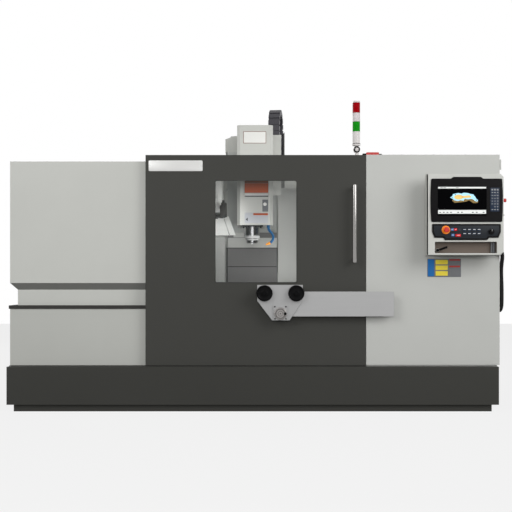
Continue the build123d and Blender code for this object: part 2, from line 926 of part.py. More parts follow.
def make_rear_wall():
    y0 = rear_wall_y
    body = block(wing_right, cabinet_left, y0, y0 + sheet, base_height, rear_wall_top)
    body -= block(
        -rear_cut_half, rear_cut_half, y0 - 1, y0 + sheet + 1, rear_cut_bottom, rear_wall_top + 1)
    body -= block(
        -bed_half_width - bed_pocket_gap, bed_half_width + bed_pocket_gap, y0 - 1,
        y0 + sheet + 1, base_height - 1, bed_floor)
    for side in (-1, 1):
        x0, x1 = sorted((side * rear_cut_half, side * (rear_cut_half + sheet)))
        body += block(x0, x1, y0 - 18, y0 + 1, rear_cut_bottom, rear_wall_top)
    return body


# White guard left of the column, under the carousel
def make_inner_guard():
    y0 = 1050.0
    outline = [(-420, 1298.5), (-135, 1298.5), (-194, 1453.6), (-420, 1453.6)]
    front = plate_xz(outline, y0, y0 + sheet)
    slot = plate_xz([(-239, 1450), (-233, 1450), (-184, 1303), (-190, 1303)], y0 - 1, y0 + 4)
    body = front - slot
    for z in (1298.5, 1453.6 - sheet):
        body += block(-420, -222, y0, rear_wall_y, z, z + sheet)
    body += block(-420, -420 + sheet, y0, rear_wall_y, 1298.5, 1453.6)
    return body


# Right cabinet: folded sheet over the table's right travel
def make_right_cabinet():
    body = tray(
        cabinet_left, cabinet_right, 0, rear_wall_y + sheet, cabinet_bottom, cabinet_top,
        sheet, ("x0", "z0"))
    jamb = block(cabinet_left, cabinet_left + sheet, 0, frame_wall_y + sheet,
                 cabinet_bottom, cabinet_top)
    foot = block(
        cabinet_left, cabinet_right - cabinet_foot_inset, cabinet_foot_inset,
        rear_wall_y - cabinet_foot_inset, base_height, cabinet_bottom + sheet)
    foot -= block(
        cabinet_left - 1, cabinet_right - cabinet_foot_inset - sheet, cabinet_foot_inset + sheet,
        rear_wall_y - cabinet_foot_inset - sheet, base_height - 1, cabinet_bottom + sheet + 1)
    floor_rim = block(
        cabinet_left, cabinet_right, 0, rear_wall_y + sheet, cabinet_bottom,
        cabinet_bottom + sheet)
    floor_rim -= block(
        cabinet_left - 1, cabinet_right - flange, flange, rear_wall_y - flange,
        cabinet_bottom - 1, cabinet_bottom + sheet + 1)
    body = body + jamb + foot + floor_rim
    body -= block(
        cabinet_right - sheet - 1, cabinet_right + 1, side_door_front, side_door_rear,
        side_door_bottom, side_door_top)
    stop = block(
        cabinet_right - 34, cabinet_right - 31, side_door_front - 20, side_door_rear + 20,
        side_door_bottom - 20, side_door_top + 12)
    stop -= block(
        cabinet_right - 35, cabinet_right - 30, side_door_front + 20, side_door_rear - 20,
        side_door_bottom + 20, side_door_top - 20)
    body += stop
    for y0 in (side_door_front - 20, side_door_rear + 17):
        body += block(
            cabinet_right - 34, cabinet_right - sheet, y0, y0 + sheet,
            side_door_bottom - 20, side_door_top + 12)
    for z in side_hinge_centres:
        body += hinge_half(z, -1)
    lug = block(
        cabinet_right, conduit_wall_x + 16, conduit_end_y - 24, conduit_end_y + 24,
        conduit_end_z, conduit_end_z + 46)
    lug += rod_z(conduit_wall_x, conduit_end_y, conduit_end_z - 26, conduit_end_z,
                 conduit_gland_radius)
    return body + lug


def hinge_half(z, side):
    """The leaf and knuckles of one side of a service door hinge: -1 fixed, 1 moving."""
    half = side_hinge_height / 2
    third = side_hinge_height / 3
    if side < 0:
        spans = [(z - half, z - half + third - 0.5), (z + half - third + 0.5, z + half)]
    else:
        spans = [(z - half + third + 0.5, z + half - third - 0.5)]
    knuckles = []
    for z0, z1 in spans:
        barrel = rod_z(side_hinge_x, side_hinge_y, z0, z1, side_hinge_radius)
        if side < 0:
            leaf = block(
                cabinet_right, side_hinge_x, side_hinge_y - 3, side_hinge_y + 3, z0, z1)
            barrel += leaf
            barrel -= rod_z(side_hinge_x, side_hinge_y, z0 - 1, z1 + 1,
                            side_hinge_pin_radius + shaft_gap)
        else:
            leaf_x = cabinet_right + slide_gap
            leaf = block(leaf_x, leaf_x + 3, side_hinge_y, side_door_front + 44, z0, z1)
            barrel += leaf
            barrel += block(
                cabinet_right - slide_gap, leaf_x + 3, side_door_front + 8,
                side_door_front + 44, z0, z1)
            barrel += rod_z(side_hinge_x, side_hinge_y, z - half + 2, z + half - 2,
                            side_hinge_pin_radius)
        knuckles.append(barrel)
    body = knuckles[0]
    for knuckle in knuckles[1:]:
        body += knuckle
    return body


def make_side_door():
    body = tray(
        cabinet_right - side_door_thickness, cabinet_right - slide_gap,
        side_door_front + side_door_gap, side_door_rear - side_door_gap,
        side_door_bottom + side_door_gap, side_door_top - side_door_gap, sheet, ("x0",))
    for z in side_hinge_centres:
        body += hinge_half(z, 1)
    pull = block(
        cabinet_right - 20, cabinet_right, side_door_rear - 90, side_door_rear - 50, 1420, 1560)
    pull -= block(
        cabinet_right - 17, cabinet_right + 1, side_door_rear - 86, side_door_rear - 54,
        1424, 1556)
    opening = block(
        cabinet_right - 5, cabinet_right + 1, side_door_rear - 90, side_door_rear - 50, 1420, 1560)
    return body - opening + (pull - block(
        cabinet_right - slide_gap, cabinet_right + 1, side_door_rear - 91, side_door_rear - 49,
        1419, 1561))


# Sliding door: one folded panel with a window, on two shoes that run in the rail
def make_door_panel():
    body = tray(
        door_left, door_right, 0, door_depth, door_bottom, door_top, sheet, ("y1",))
    opening = block(window_left, window_right, -1, door_depth + 1, window_bottom, window_top)
    opening = fillet(opening.edges().filter_by(Axis.Y), window_corner)
    body -= opening
    for z0 in (door_bottom, door_top - sheet):
        lip = block(door_left, door_right, door_depth - sheet, door_depth, z0,
                    z0 + sheet)
        body += lip
    for z0, z1 in ((door_bottom, door_bottom + 24), (door_top - 24, door_top)):
        body += block(door_left, door_right, door_depth - sheet, door_depth, z0, z1)
    for x0, x1 in ((door_left, door_left + 24), (door_right - 24, door_right)):
        body += block(x0, x1, door_depth - sheet, door_depth, door_bottom, door_top)
    rail_top = lower_guard_top + rail_height
    for x in shoe_x:
        arm = block(
            x - shoe_half_length, x + shoe_half_length, sheet - 1, rail_front + 24,
            rail_top + 4, rail_top + 10)
        arm += block(
            x - shoe_half_length, x + shoe_half_length, rail_front + rail_wall + 6,
            rail_rear - 7, lower_guard_top + rail_wall + slide_gap, rail_top + 10)
        body += arm
    return body


def make_door_window():
    body = block(
        window_left - pane_lap, window_right + pane_lap, sheet, sheet + pane_thickness,
        window_bottom - pane_lap, window_top + pane_lap)
    return fillet(body.edges().filter_by(Axis.Y), window_corner)


def make_door_handle():
    bar = rod_z(handle_x, handle_y, handle_bottom, handle_top, handle_radius)
    bar = chamfer(bar.edges().filter_by(GeomType.CIRCLE), 2)
    for z in (handle_bottom + handle_post_inset, handle_top - handle_post_inset):
        bar += rod_y(handle_x, z, handle_y, 0, handle_post_radius)
        bar += rod_y(handle_x, z, -4, 0, handle_post_radius + 5)
    return bar


# Control pendant
def make_pendant_bracket():
    body = block(swivel_x - 45, swivel_x + 45, -8, 0, swivel_bottom - 40, swivel_top + 40)
    for z0 in (swivel_bottom - slide_gap - ear_thickness, swivel_top + slide_gap):
        ear = block(swivel_x - 30, swivel_x + 30, swivel_y, -7, z0, z0 + ear_thickness)
        ear += rod_z(swivel_x, swivel_y, z0, z0 + ear_thickness, 30)
        body += ear
    body += rod_z(
        swivel_x, swivel_y, swivel_bottom - slide_gap - 2, swivel_top + slide_gap + 2,
        swivel_pin_radius)
    return body


def make_pendant_housing():
    body = block(
        pendant_left, pendant_right, pendant_front, pendant_rear, pendant_bottom, pendant_top)
    body = chamfer(body.edges().filter_by(Axis.Y).sort_by(Axis.X)[-2:], pendant_corner)
    front_edges = body.faces().sort_by(Axis.Y)[0].edges()
    body = chamfer(front_edges, 4)
    niche = block(
        niche_left, niche_right, pendant_front - 1, pendant_front + niche_depth,
        niche_bottom, niche_top)
    body -= fillet(niche.edges().filter_by(Axis.Y), 6)
    body += rod_y(lever_x, lever_z, pendant_front + 34, pendant_front + niche_depth, 12)
    body -= rod_y(lever_x, lever_z, pendant_front + 20, pendant_front + niche_depth, 5 + shaft_gap)
    barrel = rod_z(swivel_x, swivel_y, swivel_bottom, swivel_top, swivel_barrel_radius)
    barrel += block(
        swivel_x - 16, swivel_x + 16, pendant_rear, swivel_y, swivel_bottom, swivel_top)
    barrel -= rod_z(swivel_x, swivel_y, swivel_bottom - 1, swivel_top + 1,
                    swivel_pin_radius + shaft_gap)
    body += barrel
    x, y, z = conduit_start
    body += block(x - 21, x + 21, pendant_rear - 1, y + 21, z + 16, z + 70)
    body += rod_z(x, y, z, z + 17, conduit_gland_radius - 2)
    body -= rod_y(estop_x, estop_z, pendant_front - 1, pendant_front + 16,
                  estop_stem_radius + shaft_gap)
    body -= rod_y(knob_x, knob_z, pendant_front - 1, pendant_front + 14,
                  knob_shaft_radius + shaft_gap)
    body -= rod_x(side_button_y, side_button_z, pendant_right - 16, pendant_right + 1,
                  side_button_stem + shaft_gap)
    return body


def make_display_bezel():
    y0 = pendant_front - bezel_thickness
    middle = (bezel_bottom + bezel_top) / 2
    left = bezel_left + bezel_bulge
    right = bezel_right - bezel_bulge
    tab_top = bezel_top + bezel_tab_height
    outline = Curve() + [
        ThreePointArc((left, 0, bezel_bottom), (bezel_left, 0, middle), (left, 0, bezel_top)),
        Polyline(
            (left, 0, bezel_top), (bezel_tab_left, 0, bezel_top),
            (bezel_tab_left + bezel_tab_slope, 0, tab_top),
            (bezel_tab_right - bezel_tab_slope, 0, tab_top),
            (bezel_tab_right, 0, bezel_top), (right, 0, bezel_top)),
        ThreePointArc((right, 0, bezel_top), (bezel_right, 0, middle), (right, 0, bezel_bottom)),
        Line((right, 0, bezel_bottom), (left, 0, bezel_bottom))]
    body = extrude(Pos(0, y0, 0) * make_face(outline), pendant_front - y0, dir=(0, 1, 0))
    body = fillet(body.edges().filter_by(Axis.Y), bezel_corner)
    body -= block(
        screen_left, screen_right, y0 - 1, pendant_front + 1, screen_bottom, screen_top)
    body += rounded_plate(
        keypad_left, keypad_right, keypad_bottom, keypad_top, y0 - keypad_height,
        pendant_front, 5)
    return body


def make_screen_pane():
    return block(
        screen_left + screen_gap, screen_right - screen_gap, pendant_front - screen_thickness,
        pendant_front, screen_bottom + screen_gap, screen_top - screen_gap)


def panel_key_places():
    """Middles and half widths of the flush keys on the operator panel."""
    places = [(1383.0, 1277.8, 11.0), (1405.7, 1277.8, 11.0), (1430.6, 1276.4, 11.0)]
    places += [(1387.1, 1239.8, 11.0), (1424.0, 1237.7, 19.0)]
    for column in range(4):
        x = 1468.5 + column * 33.2
        places += [(x, 1276.4, 12.5), (x, 1250.8, 12.5)]
    return places


def make_operator_panel():
    y0 = pendant_front - panel_thickness
    tab_bottom = panel_bottom - panel_tab_height
    body = plate_xz([
        (panel_left, panel_top), (panel_left, panel_taper_top),
        (panel_left + panel_taper, panel_bottom), (panel_tab_left, panel_bottom),
        (panel_tab_left + panel_tab_slope, tab_bottom),
        (panel_tab_right - panel_tab_slope, tab_bottom), (panel_tab_right, panel_bottom),
        (panel_right - panel_taper, panel_bottom), (panel_right, panel_taper_top),
        (panel_right, panel_top)], y0, pendant_front)
    body = fillet(body.edges().filter_by(Axis.Y), panel_corner)
    for x, z, half in panel_key_places():
        body += block(x - half, x + half, y0 - key_height, pendant_front, z - 9, z + 9)
    body += rod_y(estop_x, estop_z, y0 - estop_ring_height, pendant_front, estop_ring_radius)
    body -= rod_y(estop_x, estop_z, y0 - 30, pendant_front + 1, estop_stem_radius + shaft_gap)
    body -= rod_y(knob_x, knob_z, y0 - 1, pendant_front + 1, knob_shaft_radius + shaft_gap)
    return body


def make_estop_button():
    y0 = pendant_front - panel_thickness - estop_stand
    body = rod_y(estop_x, estop_z, y0, pendant_front + 4, estop_stem_radius)
    head = rod_y(estop_x, estop_z, y0 - estop_head_height, y0, estop_head_radius)
    head = fillet(head.edges().filter_by(GeomType.CIRCLE).sort_by(Axis.Y)[:1], 5)
    skirt = Pos(estop_x, y0 + 4, estop_z) * Rot(90, 0, 0) * Cone(
        estop_stem_radius + 1, estop_head_radius, 8)
    return body + head + skirt


def make_override_knob():
    y1 = pendant_front - panel_thickness - slide_gap
    body = rod_y(knob_x, knob_z, y1 - knob_height, y1, knob_radius - 2)
    body += rod_y(knob_x, knob_z, y1 - 6, y1, knob_radius)
    body += block(knob_x - 3.5, knob_x + 3.5, y1 - knob_height - 6, y1, knob_z - 2,
                  knob_z + knob_radius - 2)
    body += rod_y(knob_x, knob_z, y1, pendant_front + 12, knob_shaft_radius)
    return body


def make_side_button():
    x0 = pendant_right + side_button_travel + 1
    body = rod_x(side_button_y, side_button_z, pendant_right - 8, x0, side_button_stem)
    cap = rod_x(side_button_y, side_button_z, x0, x0 + side_button_height, side_button_radius)
    return body + fillet(cap.edges().filter_by(GeomType.CIRCLE).sort_by(Axis.X)[-1:], 3)


def make_clamp_lever():
    y1 = pendant_front + 34 - slide_gap
    hub = Pos(lever_x, y1 - 11, lever_z) * Rot(90, 0, 0) * Cone(11, 8, 22)
    hub += rod_y(lever_x, lever_z, y1 - 1, pendant_front + niche_depth - 2, 5)
    tip_x = lever_x + lever_reach
    tip_z = lever_z + lever_rise
    arm = sweep_arm((lever_x, lever_z), (tip_x, tip_z), y1 - 18, 6.0, 8.0)
    return hub + arm


def sweep_arm(start, end, y, radius0, radius1):
    """A tapered round lever arm between two points of one depth."""
    length = math.dist(start, end)
    angle = math.degrees(math.atan2(end[1] - start[1], end[0] - start[0]))
    arm = Pos(length / 2, 0, 0) * Rot(0, 90, 0) * Cone(radius0, radius1, length)
    tip = Pos(length, 0, 0) * Sphere(radius1)
    return Pos(start[0], y, start[1]) * Rot(0, -angle, 0) * (arm + tip)


def conduit_route():
    """Corner points of the conduit: an S down past the cabinet's edge, then a hanging U."""
    x0, y0, z0 = conduit_start
    x1, y1 = conduit_wall_x, conduit_front_y
    route = [(x0, y0, z0)]
    for x_share, y_share, z in (
        (0.0, 0.0, 1296.0), (0.05, 0.02, 1256.0), (0.2, 0.1, 1212.0), (0.48, 0.28, 1172.0),
        (0.8, 0.5, 1134.0), (0.98, 0.7, 1098.0), (1.0, 0.96, 1058.0), (1.0, 1.16, 1012.0),
        (1.02, 1.18, 950.0), (1.02, 1.05, 880.0),
    ):
        route.append((x0 + x_share * (x1 - x0), y0 + y_share * (y1 - y0), z))
    reach = conduit_bend_radius / math.cos(math.radians(15))
    for angle in (195, 225, 255, 285, 315, 345):
        route.append((
            x1, conduit_front_y + conduit_bend_radius + reach * math.cos(math.radians(angle)),
            conduit_bend_z + reach * math.sin(math.radians(angle))))
    route.append((x1 + 2.0, conduit_end_y, 850.0))
    route.append((x1, conduit_end_y, 915.0))
    route.append((x1, conduit_end_y, conduit_end_z - 26))
    return route


def make_pendant_conduit():
    route = [Vector(*p) for p in conduit_route()]
    radii = []
    for a, b, c in zip(route, route[1:], route[2:]):
        turn = math.radians((b - a).get_angle(c - b))
        shorter = min((b - a).length, (c - b).length)
        radii.append(0.45 * shorter / math.tan(turn / 2))
    print("conduit radii", [round(r) for r in radii])
    path = FilletPolyline(*route, radius=radii)
    section = Plane(origin=path @ 0, z_dir=path % 0) * Circle(conduit_radius)
    tube = sweep(section, path=path)
    expected = math.pi * conduit_radius ** 2 * path.length
    print("conduit length", round(path.length), "volume ratio", round(tube.volume / expected, 4))
    return tube


# Handwheel station
def make_handwheel_arm():
    body = block(arm_left, arm_right, arm_rear - arm_thickness, arm_rear, arm_bottom, arm_top)
    body = chamfer(body.edges().filter_by(Axis.Y), 3)
    z = (arm_bottom + arm_top) / 2
    for x in arm_post_x:
        body += rod_y(x, z, arm_rear, 0, arm_post_radius)
        body += rod_y(x, z, -6, 0, arm_post_radius + 12)
    return body


def make_handwheel_plate():
    y1 = arm_rear - arm_thickness
    y0 = y1 - plate_thickness
    body = plate_xz([
        (plate_left, plate_top), (plate_right, plate_top), (plate_right, plate_shoulder),
        (plate_bottom_right, plate_bottom), (plate_bottom_left, plate_bottom),
        (plate_left, plate_shoulder)], y0, y1)
    body = chamfer(body.faces().sort_by(Axis.Y)[0].edges(), 2)
    for x in wheel_x:
        body += rod_y(x, wheel_z, y0 - wheel_stand + 6, y0, boss_radius)
        if x + boss_radius + 6 < arm_left:
            body += rod_y(x, wheel_z, y1, y1 + 36, boss_radius + 6)
        body -= rod_y(x, wheel_z, y0 - wheel_stand - 1, y1 - 1, wheel_shaft_radius + shaft_gap)
    housing = rounded_plate(
        dial_flange_left, dial_flange_right, dial_flange_bottom, dial_flange_top,
        y0 - dial_flange_thickness, y0, 4)
    body += housing
    body -= rod_y(dial_x, dial_z, y0 - dial_flange_thickness - 1, y1 - 1,
                  dial_shaft_radius + shaft_gap)
    return body


def make_handwheel(x, angle):
    y_back = arm_rear - arm_thickness - plate_thickness - wheel_stand + 6 - slide_gap
    rim = rod_y(x, wheel_z, y_back - 20, y_back, wheel_radius)
    rim = fillet(rim.edges().filter_by(GeomType.CIRCLE), 5)
    dish = Pos(x, y_back - 16, wheel_z) * Rot(90, 0, 0) * Cone(
        wheel_radius - wheel_rim - 4, wheel_radius - wheel_rim, 10)
    rim -= dish
    hub = rod_y(x, wheel_z, y_back - 22, y_back, 16)
    body = rim + hub
    body += rod_y(x, wheel_z, y_back, arm_rear - arm_thickness - 3, wheel_shaft_radius)
    grip_x = x + grip_orbit * math.cos(math.radians(angle))
    grip_z = wheel_z + grip_orbit * math.sin(math.radians(angle))
    grip = rod_y(grip_x, grip_z, y_back - 16 - grip_length, y_back - 10, grip_radius)
    grip = fillet(grip.edges().filter_by(GeomType.CIRCLE).sort_by(Axis.Y)[:1], 4)
    return body + grip


def make_pulse_dial():
    y1 = arm_rear - arm_thickness - plate_thickness - dial_flange_thickness - slide_gap
    body = rod_y(dial_x, dial_z, y1 - dial_height, y1, dial_radius)
    body = chamfer(body.edges().filter_by(GeomType.CIRCLE).sort_by(Axis.Y)[:1], 3)
    body -= rod_y(dial_x, dial_z, y1 - dial_height - 1, y1 - dial_height + 2, dial_radius - 14)
    body += rod_y(dial_x, dial_z, y1, arm_rear - arm_thickness - 3, dial_shaft_radius)
    body += rod_y(dial_x + dial_knob_orbit, dial_z, y1 - dial_height - 16, y1 - dial_height + 1,
                  dial_knob_radius)
    return body


# Tower light
def make_tower_base():
    foot_z = roof_z + sheet
    body = rod_z(tower_x + 4, tower_y, foot_z, foot_z + 8, 26)
    body += rod_z(tower_x + 4, tower_y, foot_z, knuckle_z, 13)
    ball = Pos(tower_x + 2, tower_y, knuckle_z) * Sphere(knuckle_radius)
    body += ball
    body += rod_z(tower_x, tower_y, knuckle_z, tower_levels[0] - 14, 14)
    body += rod_z(tower_x, tower_y, tower_levels[0] - 14, tower_levels[0] - 2, tower_radius + 2)
    body += rod_z(tower_x, tower_y, tower_levels[0] - 2, tower_levels[1], tower_radius)
    return body


def make_tower_lens(level):
    z0 = tower_levels[level]
    z1 = tower_levels[level + 1]
    body = rod_z(tower_x, tower_y, z0, z1, tower_radius)
    for z in (z0 + 2, z1 - 4):
        ring = rod_z(tower_x, tower_y, z, z + 2, tower_radius + 1)
        body -= ring - rod_z(tower_x, tower_y, z, z + 2, tower_radius - 1.5)
    return body


def make_tower_red():
    cap = rod_z(tower_x, tower_y, tower_levels[4], tower_levels[5], tower_radius)
    cap = fillet(cap.edges().filter_by(GeomType.CIRCLE).sort_by(Axis.Z)[-1:], 6)
    return make_tower_lens(3) + cap


def make_door_interlock():
    body = block(
        interlock_left + 24, interlock_right - 20, interlock_y, interlock_y + interlock_depth,
        cabinet_top, cabinet_top + interlock_height)
    body = fillet(body.faces().sort_by(Axis.Z)[-1].edges(), 6)
    body += block(
        interlock_left, interlock_left + 24, interlock_y + 6, interlock_y + interlock_depth - 6,
        cabinet_top, cabinet_top + 12)
    body += block(
        interlock_right - 20, interlock_right, interlock_y + 8, interlock_y + interlock_depth - 8,
        cabinet_top, cabinet_top + 10)
    return body


# Tool carousel on its carriage
def make_magazine_bracket():
    beam = block(carousel_x - 180, -330, spindle_y - 45, spindle_y + 45, beam_bottom, beam_top)
    beam += block(-430, -330, spindle_y + 45, 1420, beam_bottom, beam_top)
    beam += block(-330, -column_half_width, 1300, 1420, 1700, beam_top)
    return beam


def make_magazine_carriage():
    top = beam_bottom - slide_gap
    plate = block(
        carousel_x - 150, carousel_x + 150, spindle_y - 60, spindle_y + 60, hood_top - 1, top)
    hood = rod_z(carousel_x, spindle_y, hood_bottom, hood_top, hood_radius)
    hood -= rod_z(carousel_x, spindle_y, hood_bottom - 1, hood_top - sheet, hood_radius - sheet)
    drive = block(-242, -206, 430, 508, 1422, 1490)
    drive += block(-232, -194, 430, 508, 1422, 1512)
    drive += block(-226, -210, 445, 495, 1512, 1534)
    drive += block(-242, -234, 500, 612, 1470, 1500)
    hub = rod_z(carousel_x, spindle_y, carousel_z + carousel_thickness + 60, hood_top - 1, 70)
    hub -= rod_z(carousel_x, spindle_y, carousel_z, hood_top - 60,
                 carousel_shaft_radius + shaft_gap)
    return plate + hood + drive + hub


def make_tool_carousel():
    z0 = carousel_z
    z1 = carousel_z + carousel_thickness
    body = rod_z(carousel_x, spindle_y, z0, z1, carousel_disc_radius)
    body += rod_z(carousel_x, spindle_y, z1, hood_top - 62, carousel_shaft_radius)
    for i in range(gripper_count):
        angle = 360 * i / gripper_count
        finger = block(
            carousel_disc_radius - 8, gripper_radius, -30, 30, z0 + 1, z1 - 1)
        finger -= rod_z(gripper_radius + 2, 0, z0, z1, 24)
        body += Pos(carousel_x, spindle_y, 0) * Rot(0, 0, angle) * finger
    return body


# Electrical cabinet, its door and switch
def make_electrical_cabinet():
    body = tray(
        -electric_half_width, electric_half_width, electric_front, electric_rear,
        electric_bottom, electric_top, sheet, ("y1",))
    rim = block(
        -electric_half_width, electric_half_width, electric_rear - electric_rim_depth - sheet,
        electric_rear - electric_rim_depth, electric_bottom, electric_top)
    rim -= block(
        -electric_half_width + electric_rim, electric_half_width - electric_rim,
        electric_rear - electric_rim_depth - sheet - 1, electric_rear - electric_rim_depth + 1,
        electric_bottom + electric_rim, electric_top - electric_rim)
    body += rim
    body += block(
        -electric_half_width + electric_plate_inset, electric_half_width - electric_plate_inset,
        electric_front + sheet - 1, electric_front + 12, electric_bottom + electric_plate_inset,
        electric_top - electric_plate_inset)
    for x0, x1, z0, z1, reach in electric_gear:
        body += block(x0, x1, electric_front + 10, electric_front + reach, z0, z1)
    for z in (electric_bottom + 150, electric_top - 150):
        body += block(
            electric_half_width - 1, electric_half_width + 14, electric_rear - 30,
            electric_rear - 4, z - 30, z - 0.5)
        body += rod_z(electric_half_width + 8, electric_rear - 4, z - 30, z + 26,
                      electric_hinge_radius - 3)
        body += rod_z(electric_half_width + 8, electric_rear - 4, z - 30, z - 0.5,
                      electric_hinge_radius)
    return body


def make_cabinet_door():
    y0 = electric_rear + slide_gap
    body = tray(
        -electric_half_width, electric_half_width - 2, y0, y0 + electric_door_thickness,
        electric_bottom + 4, electric_top - 4, sheet, ("y0",))
    for z in (electric_bottom + 150, electric_top - 150):
        knuckle = rod_z(electric_half_width + 8, electric_rear - 4, z, z + 29,
                        electric_hinge_radius)
        knuckle += block(
            electric_half_width - 3, electric_half_width + 14, electric_rear + 2,
            y0 + electric_door_thickness - 1, z, z + 29)
        knuckle -= rod_z(electric_half_width + 8, electric_rear - 4, z - 1, z + 30,
                         electric_hinge_radius - 3 + shaft_gap)
        body += knuckle
    body += rod_y(switch_x, switch_z, y0 + 1, y0 + electric_door_thickness + 4, 38)
    body -= rod_y(switch_x, switch_z, y0 - 1, y0 + electric_door_thickness + 5,
                  5 + shaft_gap)
    body += block(
        -electric_half_width + 40, -electric_half_width + 64, y0 + electric_door_thickness - 1,
        y0 + electric_door_thickness + 18, 1060, 1200)
    return body


def make_main_switch():
    y0 = electric_rear + slide_gap + electric_door_thickness + 4 + slide_gap
    body = rod_y(switch_x, switch_z, electric_rear + 8, y0, 5)
    body += rod_y(switch_x, switch_z, y0, y0 + 10, 30)
    body += block(switch_x - 9, switch_x + 9, y0, overall_rear, switch_z - 34, switch_z + 34)
    return body


def make_coolant_tank():
    body = block(tank_left, tank_right, tank_front, tank_rear, 0, tank_top)
    body = fillet(body.edges().filter_by(Axis.Z), 10)
    body += block(tank_left - 12, tank_right + 12, tank_front - 6, tank_rear + 12,
                  tank_top, tank_top + 8)
    for x, radius, height in ((-800, pump_radius, pump_height), (-1010, 45, 220)):
        y = (tank_front + tank_rear) / 2
        body += rod_z(x, y, tank_top + 7, tank_top + 20, radius + 22)
        body += rod_z(x, y, tank_top + 19, tank_top + height, radius)
        body += block(x + radius - 10, x + radius + 32, y - 30, y + 30,
                      tank_top + 120, tank_top + 170)
    return body


# Coolant hoses with their nozzles, under the head's right side
def make_coolant_hoses():
    body = None
    for y in (622.0, 676.0):
        points = [(126.0, y, head_bottom - 16), (128.0, y, 1330.0), (152.0, y + 4, 1298.0),
                  (166.0, y + 7, 1262.0), (156.0, y + 10, 1226.0)]
        path = FilletPolyline(*points, radius=22)
        section = Plane(origin=path @ 0, z_dir=path % 0) * Circle(9)
        hose = sweep(section, path=path)
        nozzle = Plane(origin=path @ 1, z_dir=path % 1) * Pos(0, 0, 16) * Cone(10, 5, 34)
        fitting = rod_z(126.0, y, head_bottom - 22, head_bottom, 13)
        piece = hose + nozzle + fitting
        body = piece if body is None else body + piece
    return body


def drop_compound(shape):
    """All solids of a shape, moved to the final place."""
    solids = [s.moved(Location((shift_x, shift_y, 0))) for s in shape.solids()]
    return solids[0] if len(solids) == 1 else Compound(children=solids)


nodes = {
    "base_skirt": make_base_skirt,
    "machine_bed": make_machine_bed,
    "column": make_column,
    "column_caps": make_column_caps,
    "fixed_apron": make_fixed_apron,
    "column_chain_trough": make_column_chain_trough,
    "left_lower_guard": make_left_lower_guard,
    "left_upper_guard": make_left_upper_guard,
    "door_rail": make_door_rail,
    "front_frame": make_front_frame,
    "roof_panel": make_roof_panel,
    "rear_wall": make_rear_wall,
    "inner_guard": make_inner_guard,
    "right_cabinet": make_right_cabinet,
    "side_door": make_side_door,
    "door_panel": make_door_panel,
    "door_window": make_door_window,
    "door_handle": make_door_handle,
    "y_screw": make_y_screw,
    "y_motor": make_y_motor,
    "saddle": make_saddle,
    "work_table": make_work_table,
    "x_screw": make_x_screw,
    "x_motor": make_x_motor,
    "headstock": make_headstock,
    "spindle": make_spindle,
    "spindle_motor": make_spindle_motor,
    "head_cover": make_head_cover,
    "way_apron": make_way_apron,
    "z_screw": make_z_screw,
    "z_motor": make_z_motor,
    "energy_chain": make_energy_chain,
    "coolant_hoses": make_coolant_hoses,
    "magazine_bracket": make_magazine_bracket,
    "magazine_carriage": make_magazine_carriage,
    "tool_carousel": make_tool_carousel,
    "pendant_bracket": make_pendant_bracket,
    "pendant_housing": make_pendant_housing,
    "display_bezel": make_display_bezel,
    "screen_pane": make_screen_pane,
    "operator_panel": make_operator_panel,
    "estop_button": make_estop_button,
    "override_knob": make_override_knob,
    "side_button": make_side_button,
    "clamp_lever": make_clamp_lever,
    "pendant_conduit": make_pendant_conduit,
    "handwheel_arm": make_handwheel_arm,
    "handwheel_plate": make_handwheel_plate,
    "x_handwheel": lambda: make_handwheel(wheel_x[0], grip_angles[0]),
    "y_handwheel": lambda: make_handwheel(wheel_x[1], grip_angles[1]),
    "pulse_dial": make_pulse_dial,
    "tower_base": make_tower_base,
    "tower_green": lambda: make_tower_lens(1),
    "tower_clear": lambda: make_tower_lens(2),
    "tower_red": make_tower_red,
    "door_interlock": make_door_interlock,
    "electrical_cabinet": make_electrical_cabinet,
    "cabinet_door": make_cabinet_door,
    "main_switch": make_main_switch,
    "coolant_tank": make_coolant_tank,
}

if __name__ == "__main__":
    os.makedirs("parts", exist_ok=True)
    for name, make in nodes.items():
        export_step(drop_compound(make()), f"parts/{name}.step")
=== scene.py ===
import math
import bpy
import bmesh
from mathutils import Matrix, Vector


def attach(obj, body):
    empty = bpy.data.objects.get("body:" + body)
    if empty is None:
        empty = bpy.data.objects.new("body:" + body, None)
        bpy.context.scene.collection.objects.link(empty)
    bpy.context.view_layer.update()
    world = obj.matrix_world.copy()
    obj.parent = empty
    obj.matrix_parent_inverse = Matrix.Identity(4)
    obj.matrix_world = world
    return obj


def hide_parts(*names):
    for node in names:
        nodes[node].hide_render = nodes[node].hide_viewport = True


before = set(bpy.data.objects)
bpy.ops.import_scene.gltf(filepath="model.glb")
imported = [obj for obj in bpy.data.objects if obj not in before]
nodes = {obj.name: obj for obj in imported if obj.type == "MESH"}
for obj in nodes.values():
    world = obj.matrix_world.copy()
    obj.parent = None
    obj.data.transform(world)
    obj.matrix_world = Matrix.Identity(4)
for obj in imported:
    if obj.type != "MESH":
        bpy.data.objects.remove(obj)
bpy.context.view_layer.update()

scene = bpy.context.scene

# Sizes below are in millimetres from the machine's own datums: x from the spindle axis,
# y from the front of the door into the machine, z from the floor.
datum = Vector((-28.5, -989.0, 0.0))


def place(x, y, z):
    return (Vector((x, y, z)) + datum) / 1000


# Camera
view = {"x": 22.0, "z": 909.0, "distance": 7000.0, "lens": 69.32, "shift": (0.00195, 0.0527)}
cameraData = bpy.data.cameras.new("camera")
cameraData.sensor_width = 36.0
cameraData.lens = view["lens"]
cameraData.shift_x, cameraData.shift_y = view["shift"]
cameraData.clip_end = 60.0
camera = bpy.data.objects.new("camera", cameraData)
camera.location = place(view["x"], -view["distance"], view["z"])
camera.rotation_euler = (math.radians(90), 0, 0)
scene.collection.objects.link(camera)
scene.camera = camera
print("camera placed")


